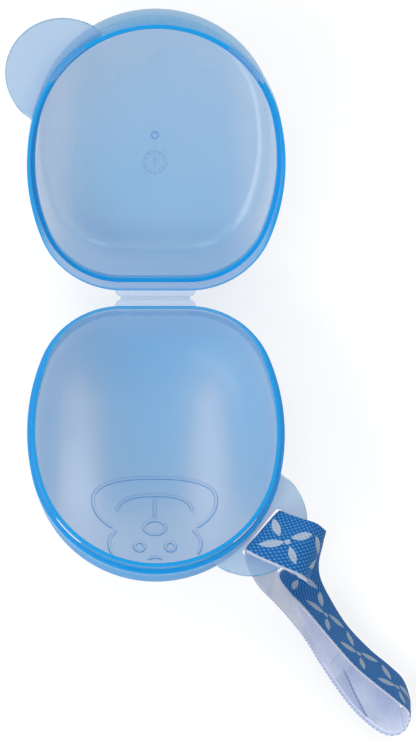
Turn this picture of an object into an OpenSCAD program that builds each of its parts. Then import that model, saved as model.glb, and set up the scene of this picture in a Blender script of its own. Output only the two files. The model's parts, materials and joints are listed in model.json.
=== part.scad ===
// Clamshell case for sterilising and carrying a baby's dummy, open, with a ribbon strap.
// Two translucent shells share one live hinge. The lid's rim is a skirt that closes
// over the base's lip. A round ear stands out of each shell, and the base's ear has a
// slot with a printed ribbon threaded through it.
//
// Origin: on the table, under the middle of the whole part. +Z is up, the lid is on the
// +Y side and the base on the -Y side. Each shell is drawn in a frame of its own: X
// across, Y outward from the hinge line, Z up through the open rim, and is then tilted.

/* [Rim outline] */
// Width of each shell across the rim
rim_w = 83.5; // [80:0.5:88]
// Length of each shell from its hinge side to its far end
rim_l = 90; // [86:0.5:96]
// Straight stretch of the rim beside the hinge
hinge_flat = 22; // [16:0.5:26]
// Radius of the two corners beside the hinge
corner_r = 28; // [24:0.5:30]
// Radius of the long sides
side_r = 68; // [60:1:80]

/* [Shells] */
// Wall of both shells
wall = 2; // [1.4:0.1:2.2]
// Step from the rim's outer face in to the shell's outer wall
wall_inset = 0.6; // [0.4:0.1:1.2]
// Depth of the base, from its ledge to the outside of its bowl
base_depth = 32.9; // [26:0.1:40]
// Fullness of the bowl's curve: 2 is an ellipsoid, more is boxier
bowl_power = 3.7; // [2.4:0.1:4]
// Depth of the lid, from the skirt's edge to the outside of its floor
lid_depth = 30.35; // [24:0.05:36]
// Draft of the lid's wall: how far it leans in from rim to floor
lid_draft = 1; // [0.5:0.1:3]
// Outer radius where the lid's wall turns into its floor
floor_r = 6.5; // [4:0.5:10]

/* [Rim joint] */
// Full thickness of the rim
rim_t = 2.6; // [2.4:0.1:3]
// Height of the solid band under each ledge
band_h = 3; // [2:0.2:4]
// Height of the lid's skirt over its ledge
skirt_h = 4.4; // [3:0.2:6]
// Thickness of the lid's skirt
skirt_t = 1.15; // [1:0.05:1.2]
// Clearance between skirt and lip
fit_gap = 0.2; // [0.15:0.05:0.3]
// Clearance between skirt and ledge when the case is shut
seat_gap = 0.1; // [0.05:0.05:0.2]
// How far the lip's edge stays short of the lid's ledge when the case is shut
lip_short = 0.3; // [0.2:0.1:0.6]
// Length of each snap bead on the lip
bead_l = 12; // [8:0.5:16]
// Radius of the snap beads
bead_r = 0.35; // [0.25:0.05:0.4]
// Height of the beads over the ledge
bead_up = 2.6; // [2.2:0.1:3]
// Angle of the beads round the far end, from the shell's X axis
bead_angle = 44; // [38:1:50]
// Clearance round a bead in its catch
catch_gap = 0.1; // [0.05:0.05:0.15]
// Length of each window in the lid's ledge
window_l = 16; // [12:0.5:20]
// Depth of the windows
window_deep = 1.2; // [0.6:0.1:1.6]

/* [Hinge] */
// Width of the hinge at the shells
leaf_w = 26.4; // [22:0.2:30]
// Length of each stiff leaf, from shell to film
leaf_l = 2.2; // [2:0.1:3]
// Thickness of the leaves
leaf_t = 1.4; // [1:0.1:1.8]
// How far the leaves' tops lie under the hinge line
leaf_down = 0.2; // [0.15:0.05:0.3]
// Width of the film, across the notches at its ends
film_w = 22.8; // [20:0.2:26]
// Length of the film between the leaves
film_l = 0.8; // [0.6:0.1:1.2]
// Thickness of the film
film_t = 0.4; // [0.3:0.05:0.5]

/* [Ears] */
// Radius of the ears
ear_r = 18.4; // [17:0.2:20]
// Distance of each ear's centre from the shell's middle line
ear_x = 30.2; // [28:0.2:32]
// Distance of each ear's centre from the far end of the rim, along the shell
ear_y = 17.8; // [16:0.2:20]
// Thickness of the ears
ear_t = 1.6; // [1.2:0.1:2]
// Distance of the ears' tops under the top of the band that carries them
ear_down = 0.4; // [0:0.1:0.8]
// Width of the strap's slot
slot_w = 2.6; // [2.2:0.1:3.2]
// Distance of the slot from the rim
slot_gap = 1.2; // [1:0.1:2]
// Turn of the slot's middle from the ear's middle, round the far end
slot_angle = 1; // [-2:0.25:4]
// Clearance at each end of the slot
slot_clear = 0.9; // [0.6:0.1:1.5]

/* [Face relief] */
// Width of the raised lines at their foot
ridge_w = 1.1; // [0.8:0.1:1.6]
// Height of the raised lines
ridge_h = 0.5; // [0.3:0.05:0.8]
// Half width of the muzzle
muzzle_x = 20.4; // [18:0.2:22]
// Height of the muzzle's chin from its widest line
chin_y = 8.2; // [7:0.2:10]
// Height of the curve of the muzzle's cheeks
cheek_y = 12.4; // [10:0.2:14]
// Distance of the muzzle's widest line from the far end of the rim
muzzle_mid = 31.6; // [30:0.2:34]
// Places on the face are counted from the middle of that line, across and towards the head
// Middle of the head's arc on each side
head_x = 8.3; // [7.8:0.1:9]
head_up = 15.2; // [14.8:0.1:16]
// Half width and half height of those arcs
head_rx = 6.8; // [6:0.1:7.2]
head_ry = 6.6; // [5:0.1:7]
// Middle of each eye
eye_x = 5.1; // [4.8:0.1:5.4]
eye_up = 15.8; // [15.2:0.1:16.2]
// Radius of the eyes
eye_r = 1.6; // [1.3:0.1:1.7]
// Middle of the nose, and its half width and half height
nose_up = 8.9; // [8.5:0.1:9.2]
nose_rx = 3.6; // [3.2:0.1:4]
nose_ry = 2.4; // [2:0.1:2.6]
// How far the mouth hangs under the muzzle's widest line, its half width and its depth
mouth_down = 2.2; // [1.8:0.1:2.6]
mouth_x = 12.5; // [11:0.1:13]
mouth_deep = 6.8; // [6:0.1:7.2]
// Middle of the tuft's curl, which bulges towards the nose, and its half width and height
tuft_up = 22.1; // [21.8:0.1:22.4]
tuft_rx = 3.2; // [2.6:0.1:3.4]
tuft_ry = 2.4; // [2:0.1:2.8]

/* [Lid marks] */
// Radius of the gate mark
gate_r = 1.4; // [0.8:0.05:1.5]
// Distance from the middle of the lid's floor to the gate mark, towards the hinge
gate_step = 0.9; // [0:0.1:3]
// Radius of the mould's date dial
dial_r = 4; // [3:0.2:5]
// Distance from gate mark to date dial
dial_step = 9.4; // [8:0.2:14]
// Height of both marks over the floor
mark_h = 0.2; // [0.1:0.05:0.3]

/* [Strap] */
// Width of the ribbon
strap_w = 17.6; // [15:0.2:18.4]
// Thickness of the ribbon
strap_t = 0.9; // [0.6:0.1:1]
// Gap between the ribbon and its lapped end
lap_gap = 0.1; // [0.05:0.05:0.2]
// Stitches in each row across the lap
stitch_count = 7; // [4:1:10]

/* [Pose] */
// Tilt of the base as it lies open
base_tilt = 16.5; // [8:0.5:22]
// Tilt of the lid as it lies open
lid_tilt = 22; // [10:0.5:26]

/* [Hidden] */
$fn = 96;

// Colours
rim_blue = [0.05, 0.52, 0.88, 0.7];
shell_blue = [0.5, 0.72, 0.9, 0.6];
ear_blue = [0.7, 0.82, 0.92, 0.5];
hinge_pale = [0.74, 0.8, 0.87, 0.8];
relief_blue = [0.4, 0.64, 0.88, 0.8];
ribbon_blue = [0.13, 0.42, 0.74];
ribbon_white = [0.82, 0.86, 0.95];

// A shape that is cut passes its blank by this much
over = 1;

// ---- Rim outline: a flat at the hinge, then corner, side and far arcs, all tangent ----

rim_y = film_l / 2 + leaf_l;
flat_x = hinge_flat / 2;
// The corners round off what the width leaves beside the flat, short of a straight side
corner_spare = 2;
corner_fit = min(corner_r, rim_w / 2 - flat_x - corner_spare);
corner_c = [flat_x, rim_y + corner_fit];
side_turn = -acos((flat_x + side_r - rim_w / 2) / (side_r - corner_fit));
side_c = corner_c - (side_r - corner_fit) * [cos(side_turn), sin(side_turn)];
far_drop = side_c.y - rim_y - rim_l;
far_r = (side_r * side_r - side_c.x * side_c.x - far_drop * far_drop) / (2 * (side_r + far_drop));
far_c = [0, rim_y + rim_l - far_r];
far_turn = atan2(far_c.y - side_c.y, far_c.x - side_c.x);
mid_c = [0, rim_y + rim_l / 2];

corner_steps = 12;
side_steps = 8;
far_steps = 13;

function arc(c, r, a0, a1, steps, first) =
    [for (i = [first:steps]) let (a = a0 + (a1 - a0) * i / steps) c + r * [cos(a), sin(a)]];

// Right half of the outline moved outward by d, from the hinge flat to the far end
function half_outline(d) = concat(
    arc(corner_c, corner_fit + d, -90, side_turn, corner_steps, 0),
    arc(side_c, side_r + d, side_turn, far_turn, side_steps, 1),
    arc(far_c, far_r + d, far_turn, 90, far_steps, 1));

function outline(d) =
    let (half = half_outline(d), n = len(half))
    concat(half, [for (i = [n - 2:-1:0]) [-half[i].x, half[i].y]]);

// Stretch of a ring round the far end, at angle a, l long, between offsets d0 and d1
module far_sector(a, l, d0, d1) {
    span = l / far_r * 90 / PI;
    polygon(concat(
        arc(far_c, far_r + d1, a - span, a + span, 6, 0),
        arc(far_c, far_r + d0, a + span, a - span, 6, 0)));
}

module ring(d_out, d_in, z0, z1) {
    translate([0, 0, z0]) linear_extrude(z1 - z0) difference() {
        polygon(outline(d_out));
        polygon(outline(d_in));
    }
}

module each_side() {
    children();
    mirror([1, 0, 0]) children();
}

// ---- Lofts and sweeps. Rings run anticlockwise, seen from the end they lead to ----

function band_faces(i, j, n) = [
    for (k = [0:n - 1]) let (m = (k + 1) % n)
    each [[i + k, j + k, j + m], [i + k, j + m, i + m]]];

module pole_loft(rings, first_pole, last_pole) {
    n = len(rings[0]);
    last = len(rings) - 1;
    points = concat([first_pole, last_pole], [for (r = rings) each r]);
    faces = concat(
        [for (k = [0:n - 1]) [0, 2 + k, 2 + (k + 1) % n]],
        [for (i = [0:last - 1]) each band_faces(2 + i * n, 2 + (i + 1) * n, n)],
        [for (k = [0:n - 1]) [2 + last * n + k, 1, 2 + last * n + (k + 1) % n]]);
    polyhedron(points, faces);
}

module sweep(rings, closed = false) {
    n = len(rings[0]);
    count = len(rings);
    last = (count - 1) * n;
    points = [for (r = rings) each r];
    sides = [for (i = [0:count - 2]) each band_faces(i * n, (i + 1) * n, n)];
    caps = closed ? band_faces(last, 0, n)
        : concat([for (k = [1:n - 2]) [0, k, k + 1]],
            [for (k = [1:n - 2]) [last, last + k + 1, last + k]]);
    polyhedron(points, concat(sides, caps));
}

function unit(v) = v / norm(v);

// ---- Levels in the shells' own frames, where the hinge line is at Z = 0 ----

ledge_z = -seat_gap / 2;
bowl_z = ledge_z - band_h;
lip_top = ledge_z + skirt_h - lip_short;
lid_ledge_z = ledge_z - skirt_h;
tray_z = lid_ledge_z - band_h;
floor_z = ledge_z - lid_depth + wall;
lip_d = -skirt_t - fit_gap;

// ---- Base bowl: scaled rim outlines along a superellipse ----

bowl_steps = 12;
bowl_h_out = base_depth - band_h;
bowl_h_in = bowl_h_out - wall;

function bowl_ring(d, h, turn) =
    let (s = pow(cos(turn), 2 / bowl_power), z = bowl_z - h * pow(sin(turn), 2 / bowl_power))
    [for (p = outline(d)) let (q = mid_c + s * (p - mid_c)) [q.x, q.y, z]];

function bowl_turn(i) = 90 * i / bowl_steps;

// Height of the bowl's inner face over a point of the shell's plane near the far end
bowl_far_r = far_r - wall_inset - wall;
function bowl_floor(p) =
    let (q = p - mid_c, u = unit(q), e = far_c - mid_c, along = u * e,
        reach = along + sqrt(bowl_far_r * bowl_far_r - e * e + along * along),
        s = norm(q) / reach)
    bowl_z - bowl_h_in * pow(1 - pow(s, bowl_power), 1 / bowl_power);

module bowl() {
    rings = concat(
        [for (i = [bowl_steps - 1:-1:0]) bowl_ring(-wall_inset, bowl_h_out, bowl_turn(i))],
        [for (i = [0:bowl_steps - 1])
            bowl_ring(-wall_inset - wall, bowl_h_in, bowl_turn(i))]);
    pole_loft(rings, [mid_c.x, mid_c.y, bowl_z - bowl_h_out],
        [mid_c.x, mid_c.y, bowl_z - bowl_h_in]);
}

// ---- Lid tray: drafted wall, round turn and flat floor ----

turn_steps = 6;

// [offset, z] from the band down to the floor, for the wall's outer or inner face
function tray_profile(t) =
    let (r = floor_r - t, foot = -wall_inset - lid_draft - t, z = ledge_z - lid_depth + t)
    concat([[-wall_inset - t, tray_z]],
        [for (i = [0:turn_steps]) let (a = 90 * i / turn_steps)
            [foot - r * (1 - cos(a)), z + r * (1 - sin(a))]]);

function tray_ring(at) = [for (p = outline(at[0])) [p.x, p.y, at[1]]];

module tray() {
    outer = tray_profile(0);
    inner = tray_profile(wall);
    n = len(outer);
    pole_loft(concat([for (i = [n - 1:-1:0]) tray_ring(outer[i])],
            [for (i = [0:n - 1]) tray_ring(inner[i])]),
        [mid_c.x, mid_c.y, floor_z - wall], [mid_c.x, mid_c.y, floor_z]);
}

// ---- Hinge ----

module leaf() {
    side_steps = 6;
    side = [for (i = [0:side_steps]) let (a = 90 * i / side_steps)
        [film_w / 2 + (leaf_w - film_w) / 2 * cos(a), film_l / 2 + leaf_l * (1 - sin(a))]];
    half = concat([[leaf_w / 2, rim_y + over]], side);
    translate([0, 0, -leaf_down - leaf_t]) linear_extrude(leaf_t) difference() {
        polygon(concat(half, [for (i = [len(half) - 1:-1:0]) [-half[i].x, half[i].y]]));
        polygon(outline(0));
    }
}

// Cross-section of the film where it meets a leaf that is tilted by a, on side 1 or -1
function film_end(a, side, z) = [
    side * (film_l / 2 * cos(a) - z * sin(a)), film_l / 2 * sin(a) + z * cos(a)];

module film() {
    top = -leaf_down - (leaf_t - film_t) / 2;
    low = top - film_t;
    bend = (lid_tilt + base_tilt) / 2;
    section = [film_end(base_tilt, -1, top), film_end(base_tilt, -1, low),
        [0, low / cos(bend)], film_end(lid_tilt, 1, low),
        film_end(lid_tilt, 1, top), [0, top / cos(bend)]];
    rotate([90, 0, 90]) translate([0, 0, -film_w / 2]) linear_extrude(film_w) polygon(section);
}

// ---- Ears, on the shell's -X side ----

ear_c = [-ear_x, rim_y + rim_l - ear_y];
slot_l = strap_w + 2 * slot_clear;
slot_r = far_r + slot_gap + slot_w / 2;
slot_turn = atan2(ear_c.y - far_c.y, far_c.x - ear_c.x) + slot_angle;
slot_c = far_c + slot_r * [-cos(slot_turn), sin(slot_turn)];

module ear(z_top) {
    translate([0, 0, z_top - ear_t]) linear_extrude(ear_t) difference() {
        translate(ear_c) circle(ear_r);
        polygon(outline(0));
    }
}

module slot_cut() {
    end = (slot_l - slot_w) / 2;
    translate([slot_c.x, slot_c.y, ledge_z - band_h]) rotate([0, 0, -slot_turn])
        linear_extrude(band_h + over) {
            square([slot_w, 2 * end], center = true);
            for (side = [-1, 1]) translate([0, side * end]) circle(slot_w / 2);
        }
}

// ---- Face relief on the bowl's inner face ----

// The bowl's flat facets stand in from its true curve, most on its slopes: by round_sag
// round its far end and by slope_sag down its side. The lines lie just over both.
round_sag = far_r * (1 - cos((90 - far_turn) / far_steps / 2));
function down_bowl(i) = [(rim_l / 2 - wall_inset - wall) * pow(cos(bowl_turn(i)), 2 / bowl_power),
    bowl_h_in * pow(sin(bowl_turn(i)), 2 / bowl_power)];
slope_sag = max([for (i = [bowl_steps / 2:bowl_steps - 1])
    let (a = down_bowl(i), u = unit(down_bowl(i + 1) - a), q = down_bowl(i + 0.5) - a)
    abs(q.x * u.y - q.y * u.x)]);
ridge_clear = 0.01;
ridge_seat = slope_sag + round_sag / 2 + ridge_clear;
ridge_top_w = ridge_w * 0.6;

function bowl_normal(p) =
    let (e = 0.05,
        dx = bowl_floor(p + [e, 0]) - bowl_floor(p - [e, 0]),
        dy = bowl_floor(p + [0, e]) - bowl_floor(p - [0, e]))
    unit([-dx / (2 * e), -dy / (2 * e), 1]);

function on_bowl(p, h) = [p.x, p.y, bowl_floor(p)] + h * bowl_normal(p);

// Rings of a ridge along a plan path
function ridge_rings(path, closed) =
    let (n = len(path))
    [for (i = [0:n - 1])
        let (a = path[closed ? (i + n - 1) % n : max(i - 1, 0)],
            b = path[closed ? (i + 1) % n : min(i + 1, n - 1)],
            t = unit(b - a), left = [-t.y, t.x], p = path[i])
        [on_bowl(p - left * ridge_w / 2, ridge_seat),
            on_bowl(p + left * ridge_w / 2, ridge_seat),
            on_bowl(p + left * ridge_top_w / 2, ridge_h),
            on_bowl(p - left * ridge_top_w / 2, ridge_h)]];

module ridge(path, closed = false) {
    sweep(ridge_rings(path, closed), closed);
}

function oval(c, rx, ry, a0, a1, steps) =
    [for (i = [0:steps]) let (a = a0 + (a1 - a0) * i / steps) c + [rx * cos(a), ry * sin(a)]];

// Quarter turns of an oval, made squarer by a power over 2
function squarish(v, power) = sign(v) * pow(abs(v), 2 / power);
function full_oval(c, rx, ry, a0, a1, steps, power) =
    [for (p = oval([0, 0], 1, 1, a0, a1, steps))
        c + [rx * squarish(p.x, power), ry * squarish(p.y, power)]];

// A place on the face, from the middle of the muzzle's widest line
muzzle_c = [0, rim_y + rim_l - muzzle_mid];
function on_face(x, up) = muzzle_c + [x, up];

// Muzzle: a full chin, and cheeks that draw in towards the head
muzzle_power = 2.5;
cheek_start = 6;
cheek_end = 49.5;
muzzle_path = concat(
    oval(muzzle_c, muzzle_x, cheek_y, cheek_end, cheek_start, 9),
    full_oval(muzzle_c, muzzle_x, chin_y, 0, -180, 28, muzzle_power),
    oval(muzzle_c, muzzle_x, cheek_y, 180 - cheek_start, 180 - cheek_end, 9));

// Head: an arc on each side of the eyes, from the end of a cheek
head_start = -53;
head_end = 36;
head_path = oval(on_face(head_x, head_up), head_rx, head_ry, head_start, head_end, 12);

// Mouth: a shallow bowl, open towards the nose, with a bar up to it
mouth_power = 2.6;
mouth_end = 3;
mouth_path = full_oval(on_face(0, mouth_deep - mouth_down), mouth_x, mouth_deep,
    mouth_end - 180, -mouth_end, 22, mouth_power);
bar_gap = ridge_w / 2 + 0.1;
bar_l = nose_up - nose_ry + mouth_down - 2 * bar_gap;
bar_path = [for (i = [0:4]) on_face(0, bar_gap - mouth_down + bar_l * i / 4)];

// Closed ovals, whose last point is left out because it is the first
function closed_oval(c, rx, ry, n) = oval(c, rx, ry, 0, 360 * (n - 1) / n, n - 1);
nose_path = closed_oval(on_face(0, nose_up), nose_rx, nose_ry, 24);
eye_path = closed_oval(on_face(eye_x, eye_up), eye_r, eye_r, 18);
tuft_start = 35;
tuft_path = oval(on_face(0, tuft_up), tuft_rx, tuft_ry, tuft_start - 180, -tuft_start, 6);

// ---- Strap: a closed loop of ribbon ----

// Stations down the loop, from the slot over the ear, down to the table and back under
// the ear. Each is [x, y, z, heading, rise]: the ribbon's middle and the direction across
// it, from its right to its left edge. x and y are from the slot's middle. z is from the
// ear's top at the slot in the upper stretches, and from the table in the lower one.
over_ear = [[0, 0.4, 4, 228, 10], [3, -1, 6.2, 232, 11], [8.6, -3.2, 7.2, 241, 11],
    [14.2, -5.4, 5.8, 251, 3], [17.2, -7.8, 0.6, 250, -2], [16.6, -10.2, -8.5, 244, -3],
    [14.6, -12.4, -20, 225, 7]];
on_table = [[13.4, -14.6, 15.8, 196, 26], [15, -18.8, 10.6, 188, 40], [20, -25.6, 8.5, 190, 54],
    [27, -35, 8.7, 200, 63], [35, -43.8, 8.5, 211, 63], [41.8, -49.8, 8.6, 214, 63],
    [46, -55, 8.8, 216, 66], [48.4, -60.4, 8.9, 220, 70], [47.4, -65.2, 8.8, 221, 68],
    [44.4, -67.4, 8.7, 220, 66], [40, -63.8, 8.6, 219, 64], [33, -56.4, 8.6, 218, 63],
    [25.3, -45.4, 8.6, 216, 63], [18.1, -33.4, 14.4, 209, 60], [11, -23.4, 24.6, 205, 53]];
under_ear = [[5.2, -14.6, -9.8, 210, 38], [1.6, -6.6, -4.4, 218, 25], [0.2, -0.6, -2.6, 227, 14]];

strap_steps = 4;
across = 4;

slot_top = ledge_z - ear_down;
bowl_samples = bowl_steps * 4;
base_drop = max(
    [for (i = [0:bowl_samples]) let (a = 90 * i / bowl_samples,
            y = rim_y + wall_inset + (rim_l / 2 - wall_inset) * (1 - pow(cos(a), 2 / bowl_power)),
            z = bowl_z - bowl_h_out * pow(sin(a), 2 / bowl_power))
        -z * cos(base_tilt) - y * sin(base_tilt)]);
lid_drop = max(
    [for (p = tray_profile(0)) -p[1] * cos(lid_tilt) - (rim_y - p[0]) * sin(lid_tilt)]);
hinge_z = max(base_drop, lid_drop);

// The slot's middle in the part's frame, seen from the hinge line
strap_x = -slot_c.x;
strap_y = -slot_c.y * cos(base_tilt) + slot_top * sin(base_tilt);
strap_z = hinge_z + slot_c.y * sin(base_tilt) + slot_top * cos(base_tilt);

function station(s, z) = [[strap_x + s[0], strap_y + s[1], z + s[2]],
    [cos(s[4]) * cos(s[3]), cos(s[4]) * sin(s[3]), sin(s[4])]];
stations = concat([for (s = over_ear) station(s, strap_z)], [for (s = on_table) station(s, 0)],
    [for (s = under_ear) station(s, strap_z)]);
station_count = len(stations);

// Smooth curve through four values, between the middle two
function spline(a, b, c, d, t) = 0.5 * (2 * b + (c - a) * t
    + (2 * a - 5 * b + 4 * c - d) * t * t + (3 * b - a - 3 * c + d) * t * t * t);
function along_strap(part, i, t) = spline(
    stations[(i + station_count - 1) % station_count][part], stations[i][part],
    stations[(i + 1) % station_count][part], stations[(i + 2) % station_count][part], t);

strap_mid = [for (i = [0:station_count - 1], k = [0:strap_steps - 1])
    along_strap(0, i, k / strap_steps)];
strap_side = [for (i = [0:station_count - 1], k = [0:strap_steps - 1])
    unit(along_strap(1, i, k / strap_steps))];
strap_n = len(strap_mid);
strap_out = [for (i = [0:strap_n - 1])
    unit(cross(strap_side[i], strap_mid[(i + 1) % strap_n] - strap_mid[(i + strap_n - 1) % strap_n]))];

// A point of the ribbon: v from -1 to 1 across it, h outward from its middle layer
function on_strap(i, v, h) = strap_mid[i] + strap_side[i] * v * strap_w / 2 + strap_out[i] * h;

function strap_ring(i, width, low, high) = concat(
    [for (k = [0:across]) on_strap(i, width * (1 - 2 * k / across), low)],
    [for (k = [0:across]) on_strap(i, width * (2 * k / across - 1), high)]);

// The ribbon's end lies inside the loop, beside the tip
lap_first = (len(over_ear) + 8) * strap_steps;
lap_last = (len(over_ear) + 12) * strap_steps + 2;
lap_width = 0.97;
lap_high = -strap_t / 2 - lap_gap;
lap_low = lap_high - strap_t;

// Stitches: short threads on the lap, each a share of a station's step long
thread_t = 0.25;
thread_w = 0.4;
thread_seat = 0.02;
stitch_share = 0.45;
stitch_rows = [lap_last - 2, lap_last - 4];

module stitch(i, v) {
    low = lap_low - thread_t;
    high = lap_low - thread_seat;
    half = thread_w / strap_w;
    ring_at = function (k) [on_strap(k, v + half, low), on_strap(k, v - half, low),
        on_strap(k, v - half, high), on_strap(k, v + half, high)];
    a = ring_at(i);
    b = ring_at(i + 1);
    c = [for (k = [0:3]) a[k] + (b[k] - a[k]) * stitch_share];
    sweep([a, c]);
}

// ---- Places: the two shells' frames in the part's frame ----

left_reach = ear_x + ear_r;
right_reach = max([for (i = [0:strap_n - 1], v = [-1, 1]) on_strap(i, v, strap_t / 2).x]);
low_reach = min([for (i = [0:strap_n - 1], v = [-1, 1]) on_strap(i, v, strap_t / 2).y]);
high_reach = max([for (p = tray_profile(0))
    (rim_y + rim_l + p[0]) * cos(lid_tilt) - p[1] * sin(lid_tilt)]);
part_shift = [(left_reach - right_reach) / 2, -(high_reach + low_reach) / 2, 0];

module in_part() {
    translate(part_shift) children();
}

module in_hinge() {
    in_part() translate([0, 0, hinge_z]) children();
}

module in_lid() {
    in_hinge() rotate([lid_tilt, 0, 0]) children();
}

module in_base() {
    in_hinge() rotate([0, 0, 180]) rotate([base_tilt, 0, 0]) children();
}

// ---- Sub-parts of the base ----

module base_bowl() {
    color(shell_blue) in_base() bowl();
}

module base_band() {
    color(rim_blue) in_base() ring(0, -rim_t, bowl_z, ledge_z);
}

module base_lip() {
    color(rim_blue) in_base() ring(lip_d, -rim_t, ledge_z, lip_top);
}

module base_beads() {
    span = bead_l / far_r * 180 / PI;
    color(rim_blue) in_base() each_side()
        translate([far_c.x, far_c.y, ledge_z + bead_up]) rotate([0, 0, bead_angle - span / 2])
            rotate_extrude(angle = span) translate([far_r + lip_d, 0])
                intersection() {
                    circle(bead_r, $fn = 24);
                    translate([0, -bead_r]) square(2 * bead_r);
                }
}

module base_ear() {
    color(ear_blue) in_base() difference() {
        ear(slot_top);
        slot_cut();
    }
}

module base_leaf() {
    color(hinge_pale) in_base() leaf();
}

module muzzle_ridge() {
    color(relief_blue) in_base() ridge(muzzle_path);
}

module head_ridges() {
    color(relief_blue) in_base() each_side() ridge(head_path);
}

module mouth_ridge() {
    color(relief_blue) in_base() {
        ridge(mouth_path);
        ridge(bar_path);
    }
}

module nose_ridge() {
    color(relief_blue) in_base() ridge(nose_path, true);
}

module eye_ridges() {
    color(relief_blue) in_base() each_side() ridge(eye_path, true);
}

module tuft_ridge() {
    color(relief_blue) in_base() ridge(tuft_path);
}

// ---- Sub-parts of the lid ----

module lid_tray() {
    color(shell_blue) in_lid() tray();
}

module lid_band() {
    color(rim_blue) in_lid() difference() {
        ring(0, -rim_t, tray_z, lid_ledge_z);
        each_side() translate([0, 0, lid_ledge_z - window_deep]) linear_extrude(window_deep + over)
            far_sector(bead_angle, window_l, -rim_t - over, -skirt_t);
    }
}

module lid_skirt() {
    catch_deep = lip_d + bead_r + catch_gap;
    catch_z = -(ledge_z + bead_up);
    color(rim_blue) in_lid() difference() {
        ring(0, -skirt_t, lid_ledge_z, ledge_z);
        each_side() translate([0, 0, catch_z - bead_r - catch_gap])
            linear_extrude(2 * (bead_r + catch_gap))
                far_sector(bead_angle, bead_l + 4 * catch_gap, -skirt_t - over, catch_deep);
    }
}

module lid_ear() {
    color(ear_blue) in_lid() ear(lid_ledge_z - ear_down);
}

module lid_leaf() {
    color(hinge_pale) in_lid() leaf();
}

module gate_mark() {
    color(shell_blue) in_lid() translate([mid_c.x, mid_c.y - gate_step, floor_z]) difference() {
        cylinder(h = mark_h, r = gate_r, $fn = 32);
        translate([0, 0, -over]) cylinder(h = mark_h + 2 * over, r = gate_r * 0.6, $fn = 32);
    }
}

module date_dial() {
    line = 0.35;
    ticks = 12;
    color(shell_blue) in_lid() translate([mid_c.x, mid_c.y - gate_step - dial_step, floor_z]) {
        linear_extrude(mark_h) difference() {
            circle(dial_r, $fn = 48);
            circle(dial_r - line, $fn = 48);
        }
        for (i = [0:ticks - 1]) rotate([0, 0, i * 360 / ticks])
            translate([dial_r * 0.68, -line / 2, 0]) cube([dial_r * 0.18, line, mark_h]);
        linear_extrude(mark_h) polygon([[-line, -dial_r * 0.42], [line, -dial_r * 0.42],
            [line, dial_r * 0.1], [3 * line, dial_r * 0.1], [0, dial_r * 0.5],
            [-3 * line, dial_r * 0.1], [-line, dial_r * 0.1]]);
    }
}

// ---- Hinge film and strap ----

module hinge_film() {
    color(hinge_pale) in_hinge() film();
}

module strap_band() {
    color(ribbon_blue) in_part()
        sweep([for (i = [0:strap_n - 1]) strap_ring(i, 1, -strap_t / 2, strap_t / 2)], true);
}

module strap_lap() {
    color(ribbon_white) in_part()
        sweep([for (i = [lap_first:lap_last]) strap_ring(i, lap_width, lap_low, lap_high)]);
}

module strap_stitches() {
    color(ribbon_white) in_part() for (row = stitch_rows, k = [0:stitch_count - 1])
        stitch(row, lap_width * (2 * (k + 0.5) / stitch_count - 1));
}

base_bowl();
base_band();
base_lip();
base_beads();
base_ear();
base_leaf();
muzzle_ridge();
head_ridges();
mouth_ridge();
nose_ridge();
eye_ridges();
tuft_ridge();
lid_tray();
lid_band();
lid_skirt();
lid_ear();
lid_leaf();
gate_mark();
date_dial();
hinge_film();
strap_band();
strap_lap();
strap_stitches();
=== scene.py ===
"""Open clamshell case for a baby's dummy, with a live hinge, two ears and a printed ribbon strap.

The shells are translucent plastic, so their colour follows how much plastic lies behind each point;
in places it also carries painted highlights, and painted light that pales the shade.
Lengths and places are in millimetres up to the moment a mesh is made.
"""
import json
import math

import bmesh
import bpy
import numpy as np
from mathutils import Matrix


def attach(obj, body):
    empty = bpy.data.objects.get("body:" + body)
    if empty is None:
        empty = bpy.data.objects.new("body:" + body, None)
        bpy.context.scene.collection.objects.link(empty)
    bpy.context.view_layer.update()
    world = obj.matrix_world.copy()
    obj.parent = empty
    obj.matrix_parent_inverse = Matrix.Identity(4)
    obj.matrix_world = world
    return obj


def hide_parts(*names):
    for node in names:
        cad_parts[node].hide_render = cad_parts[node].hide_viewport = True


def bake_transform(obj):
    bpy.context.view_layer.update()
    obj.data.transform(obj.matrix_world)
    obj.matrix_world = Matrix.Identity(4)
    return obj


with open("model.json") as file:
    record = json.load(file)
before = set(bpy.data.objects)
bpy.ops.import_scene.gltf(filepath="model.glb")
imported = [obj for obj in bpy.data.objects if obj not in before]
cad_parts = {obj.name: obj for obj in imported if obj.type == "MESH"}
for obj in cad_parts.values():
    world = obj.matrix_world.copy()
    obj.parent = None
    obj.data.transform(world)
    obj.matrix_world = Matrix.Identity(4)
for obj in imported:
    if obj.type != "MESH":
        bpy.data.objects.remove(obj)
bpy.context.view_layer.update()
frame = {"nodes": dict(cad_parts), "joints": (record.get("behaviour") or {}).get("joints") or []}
MM = 0.001

# ---- The case's sizes, the same as in the frame ----

RIM_W, RIM_L, HINGE_FLAT, CORNER_R, SIDE_R = 83.5, 90.0, 22.0, 28.0, 68.0
WALL, WALL_INSET = 2.0, 0.6
BASE_DEPTH, BOWL_POWER = 32.9, 3.7
LID_DEPTH, LID_DRAFT, FLOOR_R = 30.35, 1.0, 6.5
RIM_T, BAND_H, SKIRT_H, SKIRT_T = 2.6, 3.0, 4.4, 1.15
FIT_GAP, SEAT_GAP, LIP_SHORT = 0.2, 0.1, 0.3
BEAD_L, BEAD_R, BEAD_UP, BEAD_ANGLE = 12.0, 0.35, 2.6, 44.0
WINDOW_L, WINDOW_DEEP = 16.0, 1.2
LEAF_W, LEAF_L, LEAF_T, LEAF_DOWN = 26.4, 2.2, 1.4, 0.2
LEAF_EASE, LEAF_ROOT, FILM_DEPTH = 0.25, 0.6, 0.16
FILM_W, FILM_L, FILM_T = 22.8, 0.8, 0.4
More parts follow.
